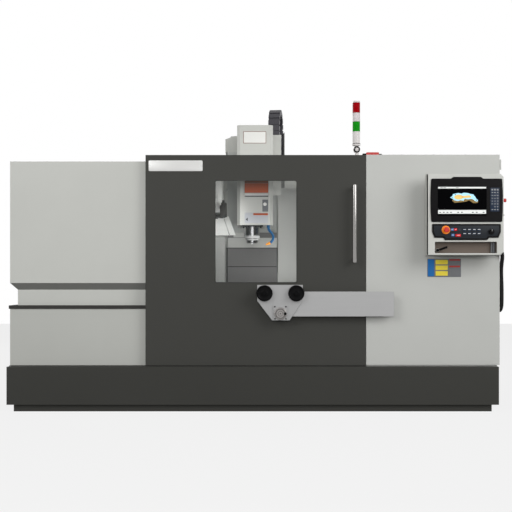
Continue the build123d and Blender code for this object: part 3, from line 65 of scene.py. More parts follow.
# Shader wiring
class Wire:
    def __init__(self, tree, output):
        self.tree = tree
        self.output = output

    def calc(self, operation, first, second=0.0, clamp=False):
        node = self.tree.nodes.new("ShaderNodeMath")
        node.operation = operation
        node.use_clamp = clamp
        for slot, value in zip(node.inputs, (first, second)):
            connect(self.tree, slot, value)
        return Wire(self.tree, node.outputs[0])

    def __add__(self, other):
        return self.calc("ADD", self, other)

    def __sub__(self, other):
        return self.calc("SUBTRACT", self, other)

    def __rsub__(self, other):
        return self.calc("SUBTRACT", other, self)

    def __mul__(self, other):
        return self.calc("MULTIPLY", self, other)

    __radd__ = __add__
    __rmul__ = __mul__

    def clamped(self):
        return self.calc("ADD", self, 0.0, clamp=True)

    def sine(self):
        return self.calc("SINE", self)


def connect(tree, slot, value):
    if isinstance(value, Wire):
        tree.links.new(value.output, slot)
    elif slot.type == "RGBA" and len(value) == 3:
        slot.default_value = (*value, 1.0)
    else:
        slot.default_value = value


class Shader:
    def __init__(self, holder):
        holder.use_nodes = True
        self.tree = holder.node_tree
        self.tree.nodes.clear()

    def node(self, kind, settings=None, inputs=None, output=0):
        node = self.tree.nodes.new("ShaderNode" + kind)
        for key, value in (settings or {}).items():
            setattr(node, key, value)
        for key, value in (inputs or {}).items():
            connect(self.tree, node.inputs[key], value)
        return Wire(self.tree, node.outputs[output]) if node.outputs else None

    def seen(self):  # 1 for what the camera sees itself, in a mirror or through a pane
        total = 0.0
        for ray in ("Is Camera Ray", "Is Glossy Ray", "Is Transmission Ray"):
            total = total + self.node("LightPath", output=ray)
        return total.clamped()


class Finish(Shader):
    def __init__(self, name):
        self.material = bpy.data.materials.new(name)
        super().__init__(self.material)
        self.spot = self.node("TexCoord", output="Object")

    def noise(self, scale, detail=3.0, rough=0.5, stretch=None):
        vector = self.spot
        if stretch:
            vector = self.node("Mapping", None, {"Vector": vector, "Scale": stretch})
        return self.node("TexNoise", None, {
            "Vector": vector, "Scale": scale, "Detail": detail, "Roughness": rough}, "Fac")

    def axis(self, letter):
        return self.node("SeparateXYZ", None, {"Vector": self.spot}, letter)

    def blend(self, factor, first, second):
        node = self.tree.nodes.new("ShaderNodeMix")
        node.data_type = "RGBA"
        connect(self.tree, node.inputs[0], factor)
        connect(self.tree, node.inputs[6], first)
        connect(self.tree, node.inputs[7], second)
        return Wire(self.tree, node.outputs[2])

    def bump(self, height, strength, distance):
        return self.node("Bump", None, {
            "Height": height, "Strength": strength, "Distance": distance}, "Normal")

    def surface(self, **sockets):
        names = {
            "colour": "Base Color", "rough": "Roughness", "metal": "Metallic", "bump": "Normal",
            "coat": "Coat Weight", "coatRough": "Coat Roughness", "alpha": "Alpha",
            "glow": "Emission Color", "glowStrength": "Emission Strength", "ior": "IOR",
            "specular": "Specular IOR Level",
        }
        shader = self.node("BsdfPrincipled", None, {names[k]: v for k, v in sockets.items()})
        self.node("OutputMaterial", None, {"Surface": shader})
        return self.material


def ink(red, green, blue):
    def linear(value):
        value /= 255
        return value / 12.92 if value <= 0.04045 else ((value + 0.055) / 1.055) ** 2.4
    return (linear(red), linear(green), linear(blue))


def shade(colour, factor):
    return tuple(channel * factor for channel in colour)


# Finishes
tower = {"centre": (753.6, 120.0), "ribs": 44.0, "joints": (2000.0, 2073.0, 2135.0)}


def grainAlong(letter, fine, coarse):
    return tuple(coarse if letter == other else fine for other in "XYZ")


def powderCoat(name, colour, rough=0.52, grain=0.5, fade=0.05, sheen=0.35, under=0.0):
    f = Finish(name)
    peel = f.noise(620.0, 2.0, 0.55)
    pores = f.noise(2300.0, 2.0, 0.6)
    cloud = f.noise(1.3, 3.0, 0.55)
    low = f.noise(5.5, 4.0, 0.6)
    tone = f.blend(
        (cloud * 1.6 - 0.3).clamped(), shade(colour, 1 - fade), shade(colour, 1 + fade * 0.5))
    tone = f.blend((low - 0.45).clamped() * 0.35, tone, shade(colour, 0.86))
    if under:  # painted shade: folds that face the floor get a darker colour, standing in for the light they miss
        normal = f.node("NewGeometry", output="Normal")
        down = f.node("SeparateXYZ", None, {0: normal}, "Z")
        tone = f.blend(((down * -1.0 - 0.35) * 3.0).clamped() * under, tone, shade(colour, 0.2))
    roughness = (cloud - 0.5) * 0.12 + (pores - 0.5) * 0.1 + rough
    return f.surface(
        colour=tone, rough=roughness, specular=sheen,
        bump=f.bump(peel * 0.7 + pores * 0.3, grain, 0.00022))


def barePlate(name, colour, along="X", rough=0.34, streak=0.12, scuff=0.25, metal=0.85):
    f = Finish(name)
    lines = f.noise(1.0, 3.0, 0.7, grainAlong(along, 900.0, 2.0))
    cloud = f.noise(7.0, 4.0, 0.6)
    marks = f.noise(38.0, 5.0, 0.72)
    tone = f.blend(
        (lines * 1.5 - 0.25).clamped(), shade(colour, 1 - streak), shade(colour, 1 + streak * 0.6))
    tone = f.blend(((marks - 0.62) * 6.0).clamped() * scuff, tone, shade(colour, 0.78))
    roughness = (lines - 0.5) * 0.16 + (cloud - 0.5) * 0.2 + rough
    return f.surface(
        colour=tone, metal=metal, rough=roughness, bump=f.bump(lines, 0.25, 0.00012))


def castPaint(name, colour, rough=0.55):
    f = Finish(name)
    lump = f.noise(90.0, 5.0, 0.62)
    pits = f.noise(650.0, 3.0, 0.6)
    cloud = f.noise(3.0, 3.0, 0.5)
    tone = f.blend(cloud, shade(colour, 0.92), shade(colour, 1.04))
    tone = f.blend(((pits - 0.6) * 5.0).clamped() * 0.3, tone, shade(colour, 0.6))
    return f.surface(
        colour=tone, rough=(lump - 0.5) * 0.2 + rough,
        bump=f.bump(lump * 0.7 + pits * 0.3, 0.5, 0.0006))


def groundIron(name, colour, along="X"):
    f = Finish(name)
    lines = f.noise(1.0, 4.0, 0.75, grainAlong(along, 700.0, 3.0))
    cells = f.node("TexVoronoi", {"feature": "F1"}, {"Vector": f.spot, "Scale": 62.0}, "Distance")
    stain = f.noise(9.0, 5.0, 0.65)
    tone = f.blend((cells * 1.2).clamped(), shade(colour, 0.9), shade(colour, 1.08))
    tone = f.blend(((stain - 0.55) * 4.0).clamped() * 0.4, tone, ink(120, 108, 92))
    return f.surface(
        colour=tone, metal=0.9, rough=(lines - 0.5) * 0.25 + (stain - 0.5) * 0.2 + 0.36,
        bump=f.bump(lines, 0.3, 0.00015))


def turnedSteel(name, colour, rough=0.22, pitch=1400.0, letter="Z", cut=0.12):
    f = Finish(name)
    cuts = (f.axis(letter) * pitch * 2.2).sine() * 0.5 + 0.5
    cloud = f.noise(30.0, 4.0, 0.6)
    tone = f.blend(cloud, shade(colour, 0.9), shade(colour, 1.06))
    return f.surface(
        colour=tone, metal=1.0, rough=(cloud - 0.5) * cut * 0.8 + cuts * 0.05 + rough,
        bump=f.bump(cuts, cut, 0.0001))


def moulded(name, colour, rough=0.5, grain=0.35, gloss=0.4, coat=0.0, size=1500.0):
    f = Finish(name)
    spark = f.noise(size, 2.0, 0.6)
    cloud = f.noise(11.0, 3.0, 0.5)
    tone = f.blend(cloud, shade(colour, 0.9), shade(colour, 1.06))
    return f.surface(
        colour=tone, rough=(spark - 0.5) * 0.14 + (cloud - 0.5) * 0.1 + rough, specular=gloss,
        coat=coat, coatRough=0.12, bump=f.bump(spark, grain, 0.00014))


def lens(name, colour, dark):
    f = Finish(name)
    middle = place(*tower["centre"], 0)
    ribs = (f.node("Math", {"operation": "ARCTAN2"}, {
        0: f.axis("X") - middle.x, 1: f.axis("Y") - middle.y}) * tower["ribs"]).sine()
    band = f.noise(60.0, 2.0, 0.5)
    tone = f.blend((ribs * 0.32 + band * 0.5).clamped(), colour, dark)
    return f.surface(
        colour=tone, rough=band * 0.08 + 0.24, specular=0.02,
        glow=colour, glowStrength=0.05, bump=f.bump(ribs, 0.35, 0.0006))


def paneClear(name):
    f = Finish(name)
    smear = f.noise(6.0, 4.0, 0.6)
    return f.surface(
        colour=(0.4, 0.44, 0.43), alpha=(smear - 0.5) * 0.02 + 0.03, rough=smear * 0.04 + 0.03,
        specular=0.06, ior=1.45)


def flatInk(name, colour, rough=0.45, glow=0.0):
    f = Finish(name)
    cloud = f.noise(140.0, 3.0, 0.6)
    tone = f.blend(cloud, shade(colour, 0.93), shade(colour, 1.04))
    parts = {"glow": colour, "glowStrength": glow} if glow else {}
    return f.surface(colour=tone, rough=(cloud - 0.5) * 0.1 + rough, specular=0.15, **parts)


finishRows = {
    # lightPaint carries painted shade on the faces turned to the floor
    "lightPaint": (powderCoat, (187, 188, 183), {"under": 0.75}),
    "guardPaint": (powderCoat, (176, 177, 172), {}),
    "cabinetPaint": (powderCoat, (181, 182, 178), {}),
    "innerPaint": (powderCoat, (186, 187, 183), {"rough": 0.42}),
    "whitePaint": (powderCoat, (238, 239, 235), {"rough": 0.4, "grain": 0.25}),
    "doorPaint": (powderCoat, (62, 62, 59), {"rough": 0.5, "fade": 0.04, "sheen": 0.12}),
    "basePaint": (powderCoat, (57, 57, 54), {"rough": 0.55, "fade": 0.06, "sheen": 0.12}),
    "blackPaint": (powderCoat, (46, 45, 43), {"rough": 0.5, "sheen": 0.2}),
    "headPaint": (powderCoat, (192, 193, 188), {"rough": 0.42, "grain": 0.3}),
    "castPaint": (castPaint, (168, 170, 167), {}),
    "wayIron": (groundIron, (150, 151, 150), {}),
    "armPlate": (barePlate, (166, 166, 166), {"metal": 0.3}),
    "wheelPlate": (barePlate, (160, 160, 160), {"along": "Z", "metal": 0.3}),
    "apronPlate": (barePlate, (117, 116, 115), {"along": "X", "rough": 0.46, "metal": 0.3}),
    "troughPlate": (barePlate, (150, 150, 148), {"along": "Z", "rough": 0.5, "metal": 0.35}),
    "screwSteel": (turnedSteel, (196, 197, 198), {}),
    "noseSteel": (turnedSteel, (190, 191, 192), {"rough": 0.22}),
    "nosePale": (moulded, (196, 197, 196), {"rough": 0.36}),
    "handleSteel": (turnedSteel, (146, 144, 142), {"rough": 0.07, "cut": 0.01}),
    "dialSteel": (turnedSteel, (150, 147, 145), {"rough": 0.34, "letter": "Y", "cut": 0.03}),
    "motorBlack": (moulded, (38, 38, 39), {"rough": 0.42, "gloss": 0.25, "size": 700.0}),
    "chainBlack": (moulded, (52, 51, 56), {"rough": 0.42, "gloss": 0.35}),
    "wheelBlack": (moulded, (8, 8, 9), {"rough": 0.36, "gloss": 0.07}),
    "bezelBlack": (moulded, (11, 10, 11), {"rough": 0.3, "grain": 0.1, "gloss": 0.08}),
    "panelFoil": (moulded, (38, 41, 45), {"rough": 0.42, "grain": 0.15, "gloss": 0.1}),
    "rubberBlack": (moulded, (24, 24, 24), {"rough": 0.68, "gloss": 0.14}),
    "coverBlack": (moulded, (34, 32, 29), {"rough": 0.55, "gloss": 0.15}),
    "gasketGrey": (moulded, (58, 58, 56), {"rough": 0.6, "gloss": 0.12}),
    "greyPlastic": (moulded, (202, 198, 196), {"rough": 0.36}),
    "redPlastic": (moulded, (190, 30, 26), {"rough": 0.3, "coat": 0.3}),
    "ringYellow": (moulded, (236, 132, 38), {"rough": 0.4}),
    "interlockRed": (moulded, (178, 58, 54), {"rough": 0.42}),
    "hoseBlue": (moulded, (22, 88, 136), {"rough": 0.36, "gloss": 0.3}),
    "nozzleOrange": (moulded, (240, 156, 46), {"rough": 0.36, "coat": 0.2}),
    "redLens": (lens, (160, 0, 10), {"dark": ink(78, 0, 5)}),
    "clearLens": (lens, (208, 202, 203), {"dark": ink(176, 168, 171)}),
    "greenLens": (lens, (22, 146, 24), {"dark": ink(4, 76, 10)}),
    "paneClear": (paneClear, (), {}),
    "screenDark": (moulded, (2, 2, 3), {"rough": 0.16, "grain": 0.0, "gloss": 0.02}),
    "nicheBrown": (moulded, (98, 88, 80), {"rough": 0.4, "gloss": 0.2}),
    "labelWhite": (flatInk, (226, 226, 222), {}),
    "labelGrey": (flatInk, (112, 114, 117), {}),
    "labelBlue": (flatInk, (38, 104, 168), {}),
    "labelYellow": (flatInk, (226, 206, 70), {}),
    "labelRed": (flatInk, (168, 62, 58), {}),
    "labelOrange": (flatInk, (176, 82, 44), {}),
    "labelSilver": (flatInk, (184, 187, 192), {}),
    "labelRust": (flatInk, (112, 64, 44), {}),
    "markWhite": (flatInk, (222, 222, 220), {}),
    "keyBlue": (flatInk, (66, 110, 164), {"rough": 0.35}),
    "keyRed": (flatInk, (206, 34, 40), {"rough": 0.35}),
    "keyDark": (flatInk, (44, 48, 56), {"rough": 0.35}),
    "keySlate": (flatInk, (34, 45, 62), {"rough": 0.4}),
    "screenPale": (flatInk, (206, 208, 206), {"glow": 0.35}),
    "screenBlue": (flatInk, (160, 206, 226), {"glow": 0.4}),
    "screenYellow": (flatInk, (216, 182, 108), {"glow": 0.35}),
    "screenOchre": (flatInk, (126, 104, 62), {"glow": 0.2}),
    "screwDark": (turnedSteel, (52, 52, 54), {"rough": 0.34}),
    "platePale": (barePlate, (206, 206, 204), {"rough": 0.36, "metal": 0.4}),
}
finishes = {
    name: make(name, ink(*colour), **settings) if colour else make(name)
    for name, (make, colour, settings) in finishRows.items()}
print("finishes made:", len(finishes))

finishNodes = {
    "basePaint": "base_skirt coolant_tank",
    "castPaint": "machine_bed column saddle headstock",
    "guardPaint": "column_caps left_lower_guard",
    "apronPlate": "fixed_apron way_apron",
    "troughPlate": "column_chain_trough",
    "lightPaint": (
        "left_upper_guard roof_panel magazine_bracket pendant_bracket pendant_housing "
        "electrical_cabinet cabinet_door"),
    "blackPaint": "door_rail",
    "innerPaint": "front_frame rear_wall",
    "whitePaint": "inner_guard magazine_carriage",
    "cabinetPaint": "right_cabinet side_door",
    "doorPaint": "door_panel",
    "paneClear": "door_window",
    "handleSteel": "door_handle",
    "screwSteel": "y_screw x_screw z_screw",
    "motorBlack": "y_motor x_motor spindle_motor z_motor",
    "wayIron": "work_table",
    "noseSteel": "spindle",
    "headPaint": "head_cover",
    "chainBlack": "energy_chain",
    "hoseBlue": "coolant_hoses",
    "coverBlack": "tool_carousel",
    "bezelBlack": "display_bezel operator_panel",
    "screenDark": "screen_pane",
    "redPlastic": "estop_button side_button",
    "wheelBlack": "override_knob clamp_lever x_handwheel y_handwheel main_switch",
    "armPlate": "handwheel_arm",
    "wheelPlate": "handwheel_plate",
    "dialSteel": "pulse_dial",
    "greyPlastic": "tower_base",
    "greenLens": "tower_green",
    "clearLens": "tower_clear",
    "redLens": "tower_red",
    "interlockRed": "door_interlock",
    "rubberBlack": "pendant_conduit",
}
for finish, names in finishNodes.items():
    for name in names.split():
        mesh = nodes[name].data
        mesh.materials.clear()
        mesh.materials.append(finishes[finish])
print("CAD nodes finished:", sum(len(names.split()) for names in finishNodes.values()))


# Modelling helpers, all in datum millimetres
def turned(axis):
    return {"Z": Matrix.Identity(4), "Y": Matrix.Rotation(math.radians(-90), 4, "X"),
            "X": Matrix.Rotation(math.radians(90), 4, "Y")}[axis]


def soften(mesh, verts, width, segments=2, limit=40.0):
    if width <= 0:
        return
    inside = set(verts)
    edges = [
        e for e in mesh.edges
        if e.verts[0] in inside and e.verts[1] in inside and len(e.link_faces) == 2
        and e.calc_face_angle(0.0) > math.radians(limit)]
    bmesh.ops.bevel(
        mesh, geom=edges, offset=width, offset_type="OFFSET", segments=segments, profile=0.5,
        affect="EDGES", material=-1)


def addBox(mesh, x, y, z, bevel=0.0, segments=2):
    sizes = Matrix.Diagonal((x[1] - x[0], y[1] - y[0], z[1] - z[0], 1.0))
    middle = Matrix.Translation(((x[0] + x[1]) / 2, (y[0] + y[1]) / 2, (z[0] + z[1]) / 2))
    made = bmesh.ops.create_cube(mesh, size=1.0, matrix=middle @ sizes)
    soften(mesh, made["verts"], bevel, segments)


def addRod(mesh, axis, centre, span, radius, bevel=0.0, sides=40):
    low, high = span
    middle = Vector(centre)
    middle["XYZ".index(axis)] = (low + high) / 2
    made = bmesh.ops.create_cone(
        mesh, cap_ends=True, segments=sides, radius1=radius, radius2=radius,
        depth=high - low, matrix=Matrix.Translation(middle) @ turned(axis))
    soften(mesh, made["verts"], bevel)


def addCone(mesh, spot, direction, length, radii, sides, bevel):
    turn = direction.to_track_quat("Z", "Y").to_matrix().to_4x4()
    made = bmesh.ops.create_cone(
        mesh, cap_ends=True, segments=sides, radius1=radii[0], radius2=radii[1], depth=length,
        matrix=Matrix.Translation(spot) @ turn)
    soften(mesh, made["verts"], bevel)


def addKnurls(mesh, x, z, orbit, count, half, y, bevel):
    for index in range(count):
        turn = math.tau * index / count
        cx, cz = x + orbit * math.cos(turn), z + orbit * math.sin(turn)
        addBox(mesh, (cx - half, cx + half), y, (cz - half, cz + half), bevel, 1)


def addTick(mesh, spot, turn, size):
    bmesh.ops.create_cube(
        mesh, size=1.0, matrix=Matrix.Translation(spot) @ Matrix.Rotation(turn, 4, "Y")
        @ Matrix.Diagonal((*size, 1.0)))


def addTurning(mesh, axis, centre, profile, sides=48):
    # profile: (radius, place along the axis) pairs, open between two ends on the axis or closed
    spin = Matrix.Translation(centre) @ turned(axis)
    verts = [mesh.verts.new(spin @ Vector((r, 0, h))) for r, h in profile]
    edges = [mesh.edges.new(pair) for pair in zip(verts, verts[1:])]
    direction = spin.to_3x3() @ Vector((0, 0, 1))
    bmesh.ops.spin(
        mesh, geom=verts + edges, cent=Vector(centre), axis=direction, dvec=(0, 0, 0),
        angle=math.tau, steps=sides, use_merge=True, use_duplicate=False)


def addRing(mesh, axis, centre, radius, wire, sides=48, around=12):
    profile = []
    for step in range(around + 1):
        angle = math.tau * step / around
        profile.append((radius + wire * math.cos(angle), wire * math.sin(angle)))
    addTurning(mesh, axis, centre, profile, sides)


def addPlate(mesh, outline, y, bevel=0.0):
    verts = [mesh.verts.new((px, y[0], pz)) for px, pz in outline]
    face = mesh.faces.new(verts)
    grown = bmesh.ops.extrude_face_region(mesh, geom=[face])
    moved = [v for v in grown["geom"] if isinstance(v, bmesh.types.BMVert)]
    bmesh.ops.translate(mesh, vec=(0, y[1] - y[0], 0), verts=moved)
    soften(mesh, verts + moved, bevel)


def rounded(x, z, radius, steps=5):
    points = []
    corners = ((x[1] - radius, z[1] - radius, 0), (x[0] + radius, z[1] - radius, 90),
               (x[0] + radius, z[0] + radius, 180), (x[1] - radius, z[0] + radius, 270))
    for cx, cz, start in corners:
        for step in range(steps + 1):
            angle = math.radians(start + 90 * step / steps)
            points.append((cx + radius * math.cos(angle), cz + radius * math.sin(angle)))
    return points


def finishPiece(name, mesh, finish, body, smooth=35.0):
    bmesh.ops.remove_doubles(mesh, verts=mesh.verts, dist=0.001)
    bmesh.ops.recalc_face_normals(mesh, faces=mesh.faces)
    bmesh.ops.transform(
        mesh, matrix=Matrix.Scale(0.001, 4) @ Matrix.Translation(datum), verts=mesh.verts)
    data = bpy.data.meshes.new(name)
    mesh.to_mesh(data)
    mesh.free()
    data.materials.append(finishes[finish])
    for polygon in data.polygons:
        polygon.use_smooth = True
    data.set_sharp_from_angle(angle=math.radians(smooth))
    piece = bpy.data.objects.new(name, data)
    scene.collection.objects.link(piece)
    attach(piece, body)
    return piece


def makePiece(name, finish, body, build, smooth=35.0):
    mesh = bmesh.new()
    build(mesh)
    return finishPiece(name, mesh, finish, body, smooth)


# Conduit from the pendant to the right end
conduit = {"diameter": 0.028, "start": (1715.0, -80.0, 1330.0), "wall": (1777.0, 14.0),
           "bend": 65.0, "bendHeight": 778.0, "end": 984.0, "length": 1.0}
relief = {"inner": 14.2, "low": 938.0, "top": 986.0, "ridges": (948.0, 956.0, 964.0, 972.0)}


def conduitRoute():
    x0, y0, z0 = conduit["start"]
    x1, y1 = conduit["wall"]
    route = [(x0, y0, z0)]
    for xShare, yShare, z in (
        (0.0, 0.0, 1296.0), (0.05, 0.02, 1256.0), (0.2, 0.1, 1212.0), (0.48, 0.28, 1172.0),
        (0.8, 0.5, 1134.0), (0.98, 0.7, 1098.0), (1.0, 0.96, 1058.0), (1.0, 1.16, 1012.0),
        (1.02, 1.18, 950.0), (1.02, 1.05, 880.0),
    ):
        route.append((x0 + xShare * (x1 - x0), y0 + yShare * (y1 - y0), z))
    reach = conduit["bend"] / math.cos(math.radians(15))
    for angle in (195, 225, 255, 285, 315, 345):
        route.append((
            x1, y1 + conduit["bend"] + reach * math.cos(math.radians(angle)),
            conduit["bendHeight"] + reach * math.sin(math.radians(angle))))
    yEnd = y1 + 2 * conduit["bend"]
    route += [(x1 + 2.0, yEnd, 850.0), (x1, yEnd, 915.0), (x1, yEnd, conduit["end"])]
    return [place(*point) for point in route]


def makeConduit():
    route = conduitRoute()
    curve = bpy.data.curves.new("conduitHose", "CURVE")
    curve.dimensions = "3D"
    curve.bevel_depth = conduit["diameter"] / 2
    curve.bevel_resolution = 6
    curve.use_fill_caps = True
    spline = curve.splines.new("NURBS")
    spline.points.add(len(route) - 1)
    for point, spot in zip(spline.points, route):
        point.co = (*spot, 1.0)
    spline.order_u = 3
    spline.use_endpoint_u = True
    spline.resolution_u = 8
    curve.materials.append(finishes["rubberBlack"])
    hose = bpy.data.objects.new("conduitHose", curve)
    scene.collection.objects.link(hose)
    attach(hose, "frame")
    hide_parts("pendant_conduit")


makeConduit()


def buildRelief(mesh):
    x, y = conduit["wall"][0], conduit["wall"][1] + 2 * conduit["bend"]
    inner, low, top = relief["inner"], relief["low"], relief["top"]
    addTurning(mesh, "Z", (x, y, 0), [
        (inner, low), (15.0, low), (15.4, low + 2), (16.6, top - 8), (17.6, top - 6), (17.6, top),
        (inner, top), (inner, low)], 36)
    for z in relief["ridges"]:
        addRing(mesh, "Z", (x, y, z), 15.3 + (z - low) * 0.03, 0.9, 36, 8)


makePiece("conduitRelief", "rubberBlack", "frame", buildRelief)
print("conduit made")

# Sliding door
door = {"window": ((-262.0, 319.5), (911.0, 1638.0)), "corner": 14.0, "gasket": 4.0,
        "plate": ((-733.0, -350.0), (1703.0, 1779.0))}


def buildGasket(mesh):
    (x0, x1), (z0, z1) = door["window"]
    lip = door["gasket"]
    outer = rounded((x0 - 1, x1 + 1), (z0 - 1, z1 + 1), door["corner"] + 1)
    inner = rounded((x0 + lip, x1 - lip), (z0 + lip, z1 - lip), door["corner"] - 4)
    outerVerts = [mesh.verts.new((x, 2.6, z)) for x, z in outer]
    innerVerts = [mesh.verts.new((x, 2.6, z)) for x, z in inner]
    count = len(outer)
    faces = []
    for index in range(count):
        after = (index + 1) % count
        faces.append(mesh.faces.new((
            outerVerts[index], outerVerts[after], innerVerts[after], innerVerts[index])))
    grown = bmesh.ops.extrude_face_region(mesh, geom=faces)
    moved = [v for v in grown["geom"] if isinstance(v, bmesh.types.BMVert)]
    bmesh.ops.translate(mesh, vec=(0, -3.0, 0), verts=moved)
    soften(mesh, list(mesh.verts), 1.0, 2, 60.0)


makePiece("windowGasket", "gasketGrey", "door", buildGasket)
makePiece("doorPlate", "platePale", "door", lambda mesh: addPlate(
    mesh, rounded(*door["plate"], 8.0), (-2.2, 0.0), 0.6))


def buildPlateRivets(mesh):
    (x0, x1), (z0, z1) = door["plate"]
    for x in (x0 + 10, x1 - 10):
        addRod(mesh, "Y", (x, 0, (z0 + z1) / 2), (-3.6, -2.0), 4.0, bevel=1.0, sides=20)


makePiece("doorPlateRivets", "screwSteel", "door", buildPlateRivets)
print("door dressed")

# Handwheels, with their finger grips
wheel = {"radius": 57.0, "depth": 20.0, "back": -96.3, "height": 837.0, "orbit": 50.0,
         "grip": 9.5, "gripLength": 34.0, "ribs": 36}


def buildWheel(mesh, x, angle):
    back, front = wheel["back"], wheel["back"] - wheel["depth"]
    r = wheel["radius"]
    addTurning(mesh, "Y", (x, 0, wheel["height"]), [
        (0.001, back), (r - 6, back), (r - 1.5, back - 3), (r, back - 7), (r, front + 7),
        (r - 1.5, front + 3), (r - 6, front), (r - 9, front + 0.6), (r - 12, front + 4.5),
        (r - 16, front + 6.4), (22.0, front + 6.4), (19.0, front + 5.0), (17.5, front + 0.5),
        (15.5, front - 1.6), (7.0, front - 2.0), (6.0, front - 0.6), (0.001, front - 0.4),
    ], 72)
    addKnurls(mesh, x, wheel["height"], r - 0.7, wheel["ribs"], 1.1, (front + 7.5, back - 7.5), 0.5)
    gx = x + wheel["orbit"] * math.cos(math.radians(angle))
    gz = wheel["height"] + wheel["orbit"] * math.sin(math.radians(angle))
    tip = front - wheel["gripLength"] + 6
    g = wheel["grip"]
    addTurning(mesh, "Y", (gx, 0, gz), [
        (0.001, front + 4), (g - 3.5, front + 4), (g - 3.5, front - 2), (g - 1.6, front - 4),
        (g - 0.4, front - 10), (g, front - 18), (g - 0.8, tip + 5), (g - 3, tip + 1),
        (g - 6, tip), (0.001, tip)], 32)


for wheelName, x, angle, node in (
    ("xHandwheelRim", 88.5, 180.0, "x_handwheel"), ("yHandwheelRim", 311.0, 212.0, "y_handwheel"),
):
    piece = makePiece(wheelName, "wheelBlack", node, lambda mesh: buildWheel(mesh, x, angle))
    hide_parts(node)

# Pulse dial: knurled ring, fine scale and a black knob
dial = {"centre": (199.8, 694.0), "back": -94.3, "teeth": 60, "marks": 50,
        "screws": ((161.0, 238.6), (657.5, 742.5))}


def buildDial(mesh):
    x, z = dial["centre"]
    back = dial["back"]
    addTurning(mesh, "Y", (x, 0, z), [
        (0.001, back), (41.5, back), (43.5, back - 1.2), (44.0, back - 3), (44.0, back - 7.5),
        (42.6, back - 8.6), (40.0, back - 9.6), (37.0, back - 14.0), (34.5, back - 14.0),
        (33.8, back - 12.8), (30.5, back - 12.6), (29.8, back - 14.0), (25.0, back - 14.0),
        (24.2, back - 12.6), (9.0, back - 12.2), (8.2, back - 14.4), (4.0, back - 14.8),
        (3.4, back - 13.4), (0.001, back - 13.2)], 72)
    addKnurls(mesh, x, z, 43.7, dial["teeth"], 0.9, (back - 7.3, back - 3.2), 0.3)


piece = makePiece("pulseDialRing", "dialSteel", "pulse_dial", buildDial)
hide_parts("pulse_dial")


def buildDialKnob(mesh):
    x, z = dial["centre"]
    addTurning(mesh, "Y", (x + 33.0, 0, z), [
        (0.001, -106.0), (6.5, -106.0), (6.5, -110.0), (9.5, -112.0), (10.0, -118.0),
        (9.0, -122.5), (6.0, -124.0), (0.001, -124.3)], 32)
    addRod(mesh, "Y", (x, 0, z), (-109.6, -106.0), 3.0, bevel=0.8, sides=20)


makePiece("pulseDialKnob", "wheelBlack", "pulse_dial", buildDialKnob)


def buildDialGrooves(mesh):
    x, z = dial["centre"]
    for radius, depth, wire in ((41.2, -102.6, 0.9), (32.0, -107.5, 1.3), (17.0, -107.1, 1.0)):
        addRing(mesh, "Y", (x, depth, z), radius, wire, 64, 6)


makePiece("pulseDialGrooves", "screwDark", "pulse_dial", buildDialGrooves)


def buildDialScrews(mesh):
    for x in dial["screws"][0]:
        for z in dial["screws"][1]:
            addRod(mesh, "Y", (x, 0, z), (-98.2, -93.8), 5.2, bevel=0.9, sides=24)


makePiece("dialFlangeScrews", "wheelBlack", "frame", buildDialScrews)


def buildDialScale(mesh):
    x, z = dial["centre"]
    for index in range(dial["marks"]):
        turn = math.tau * index / dial["marks"]
        inner, outer = 45.4, 47.8 if index % 5 else 49.6  # every fifth mark is longer
        middle = (inner + outer) / 2
        addTick(mesh, (x + middle * math.cos(turn), -94.1, z + middle * math.sin(turn)), -turn,
                (outer - inner, 0.3, 0.7))


makePiece("dialScale", "wheelBlack", "frame", buildDialScale)
print("handwheel station dressed")

# Pendant
keypad = {"x": (1648.5, 1704.5), "z": (1405.0, 1562.0), "columns": 3, "rows": 8,
          "blank": (6, 0), "tall": 6.6, "keyDepth": (-202.4, -200.0), "markDepth": (-202.7, -202.3)}


def keySpots(rows):
    (left, right), (low, high) = keypad["x"], keypad["z"]
    stepX, stepZ = (right - left) / keypad["columns"], (high - low) / keypad["rows"]
    for row in rows:
        for column in range(keypad["columns"]):
            if (row, column) != keypad["blank"]:
                yield left + (column + 0.5) * stepX, high - (row + 0.5) * stepZ


def buildKeys(mesh, rows, half):
    tall, depth = keypad["tall"], keypad["keyDepth"]
    for x, z in keySpots(rows):
        addPlate(mesh, rounded((x - half, x + half), (z - tall, z + tall), 2.0, 3), depth, 0.6)


def buildKeyMarks(mesh):
    for rows, half in ((range(1), 2.6), (range(1, keypad["rows"]), 3.6)):
        for x, z in keySpots(rows):
            addBox(mesh, (x - half, x + half), keypad["markDepth"], (z - 1.5, z + 1.5))


makePiece("keypadKeys", "keySlate", "pendant", lambda mesh: buildKeys(
    mesh, range(1, keypad["rows"]), 7.6))
makePiece("keypadTopKeys", "labelGrey", "pendant", lambda mesh: buildKeys(mesh, range(1), 6.6))
makePiece("keypadMarks", "markWhite", "pendant", buildKeyMarks)

# Picture on the screen: a plain machined bracket between a header and a key row
screen = {"x": (1286.0, 1617.0), "glass": -195.2, "markDepth": (-195.8, -195.45)}


def screenStrip(name, finish, x, z):
    makePiece(name, finish, "pendant", lambda mesh: addBox(
        mesh, x, (screen["glass"] - 0.3, screen["glass"]), z))


screenStrip("screenHeader", "screenPale", screen["x"], (1561.0, 1572.5))
screenStrip("screenFooter", "screenPale", screen["x"], (1387.0, 1413.0))


def buildFooterMarks(mesh):
    for x in (1300, 1325, 1350, 1375, 1424, 1450, 1525, 1552, 1600):
        addBox(mesh, (x - 6, x + 6), screen["markDepth"], (1394.0, 1399.0))
    for x in (1310, 1332, 1418):
        addBox(mesh, (x - 9, x + 9), screen["markDepth"], (1565.0, 1568.0))


makePiece("screenMarks", "keyDark", "pendant", buildFooterMarks)


def screenShape(name, finish, outline, depth):
    makePiece(name, finish, "pendant", lambda mesh: addPlate(mesh, outline, (depth, depth + 0.25)))


def lobe(cx, cz, rx, rz, count=28):
    turns = [math.tau * index / count for index in range(count)]
    return [(cx + rx * math.cos(turn), cz + rz * math.sin(turn)) for turn in turns]


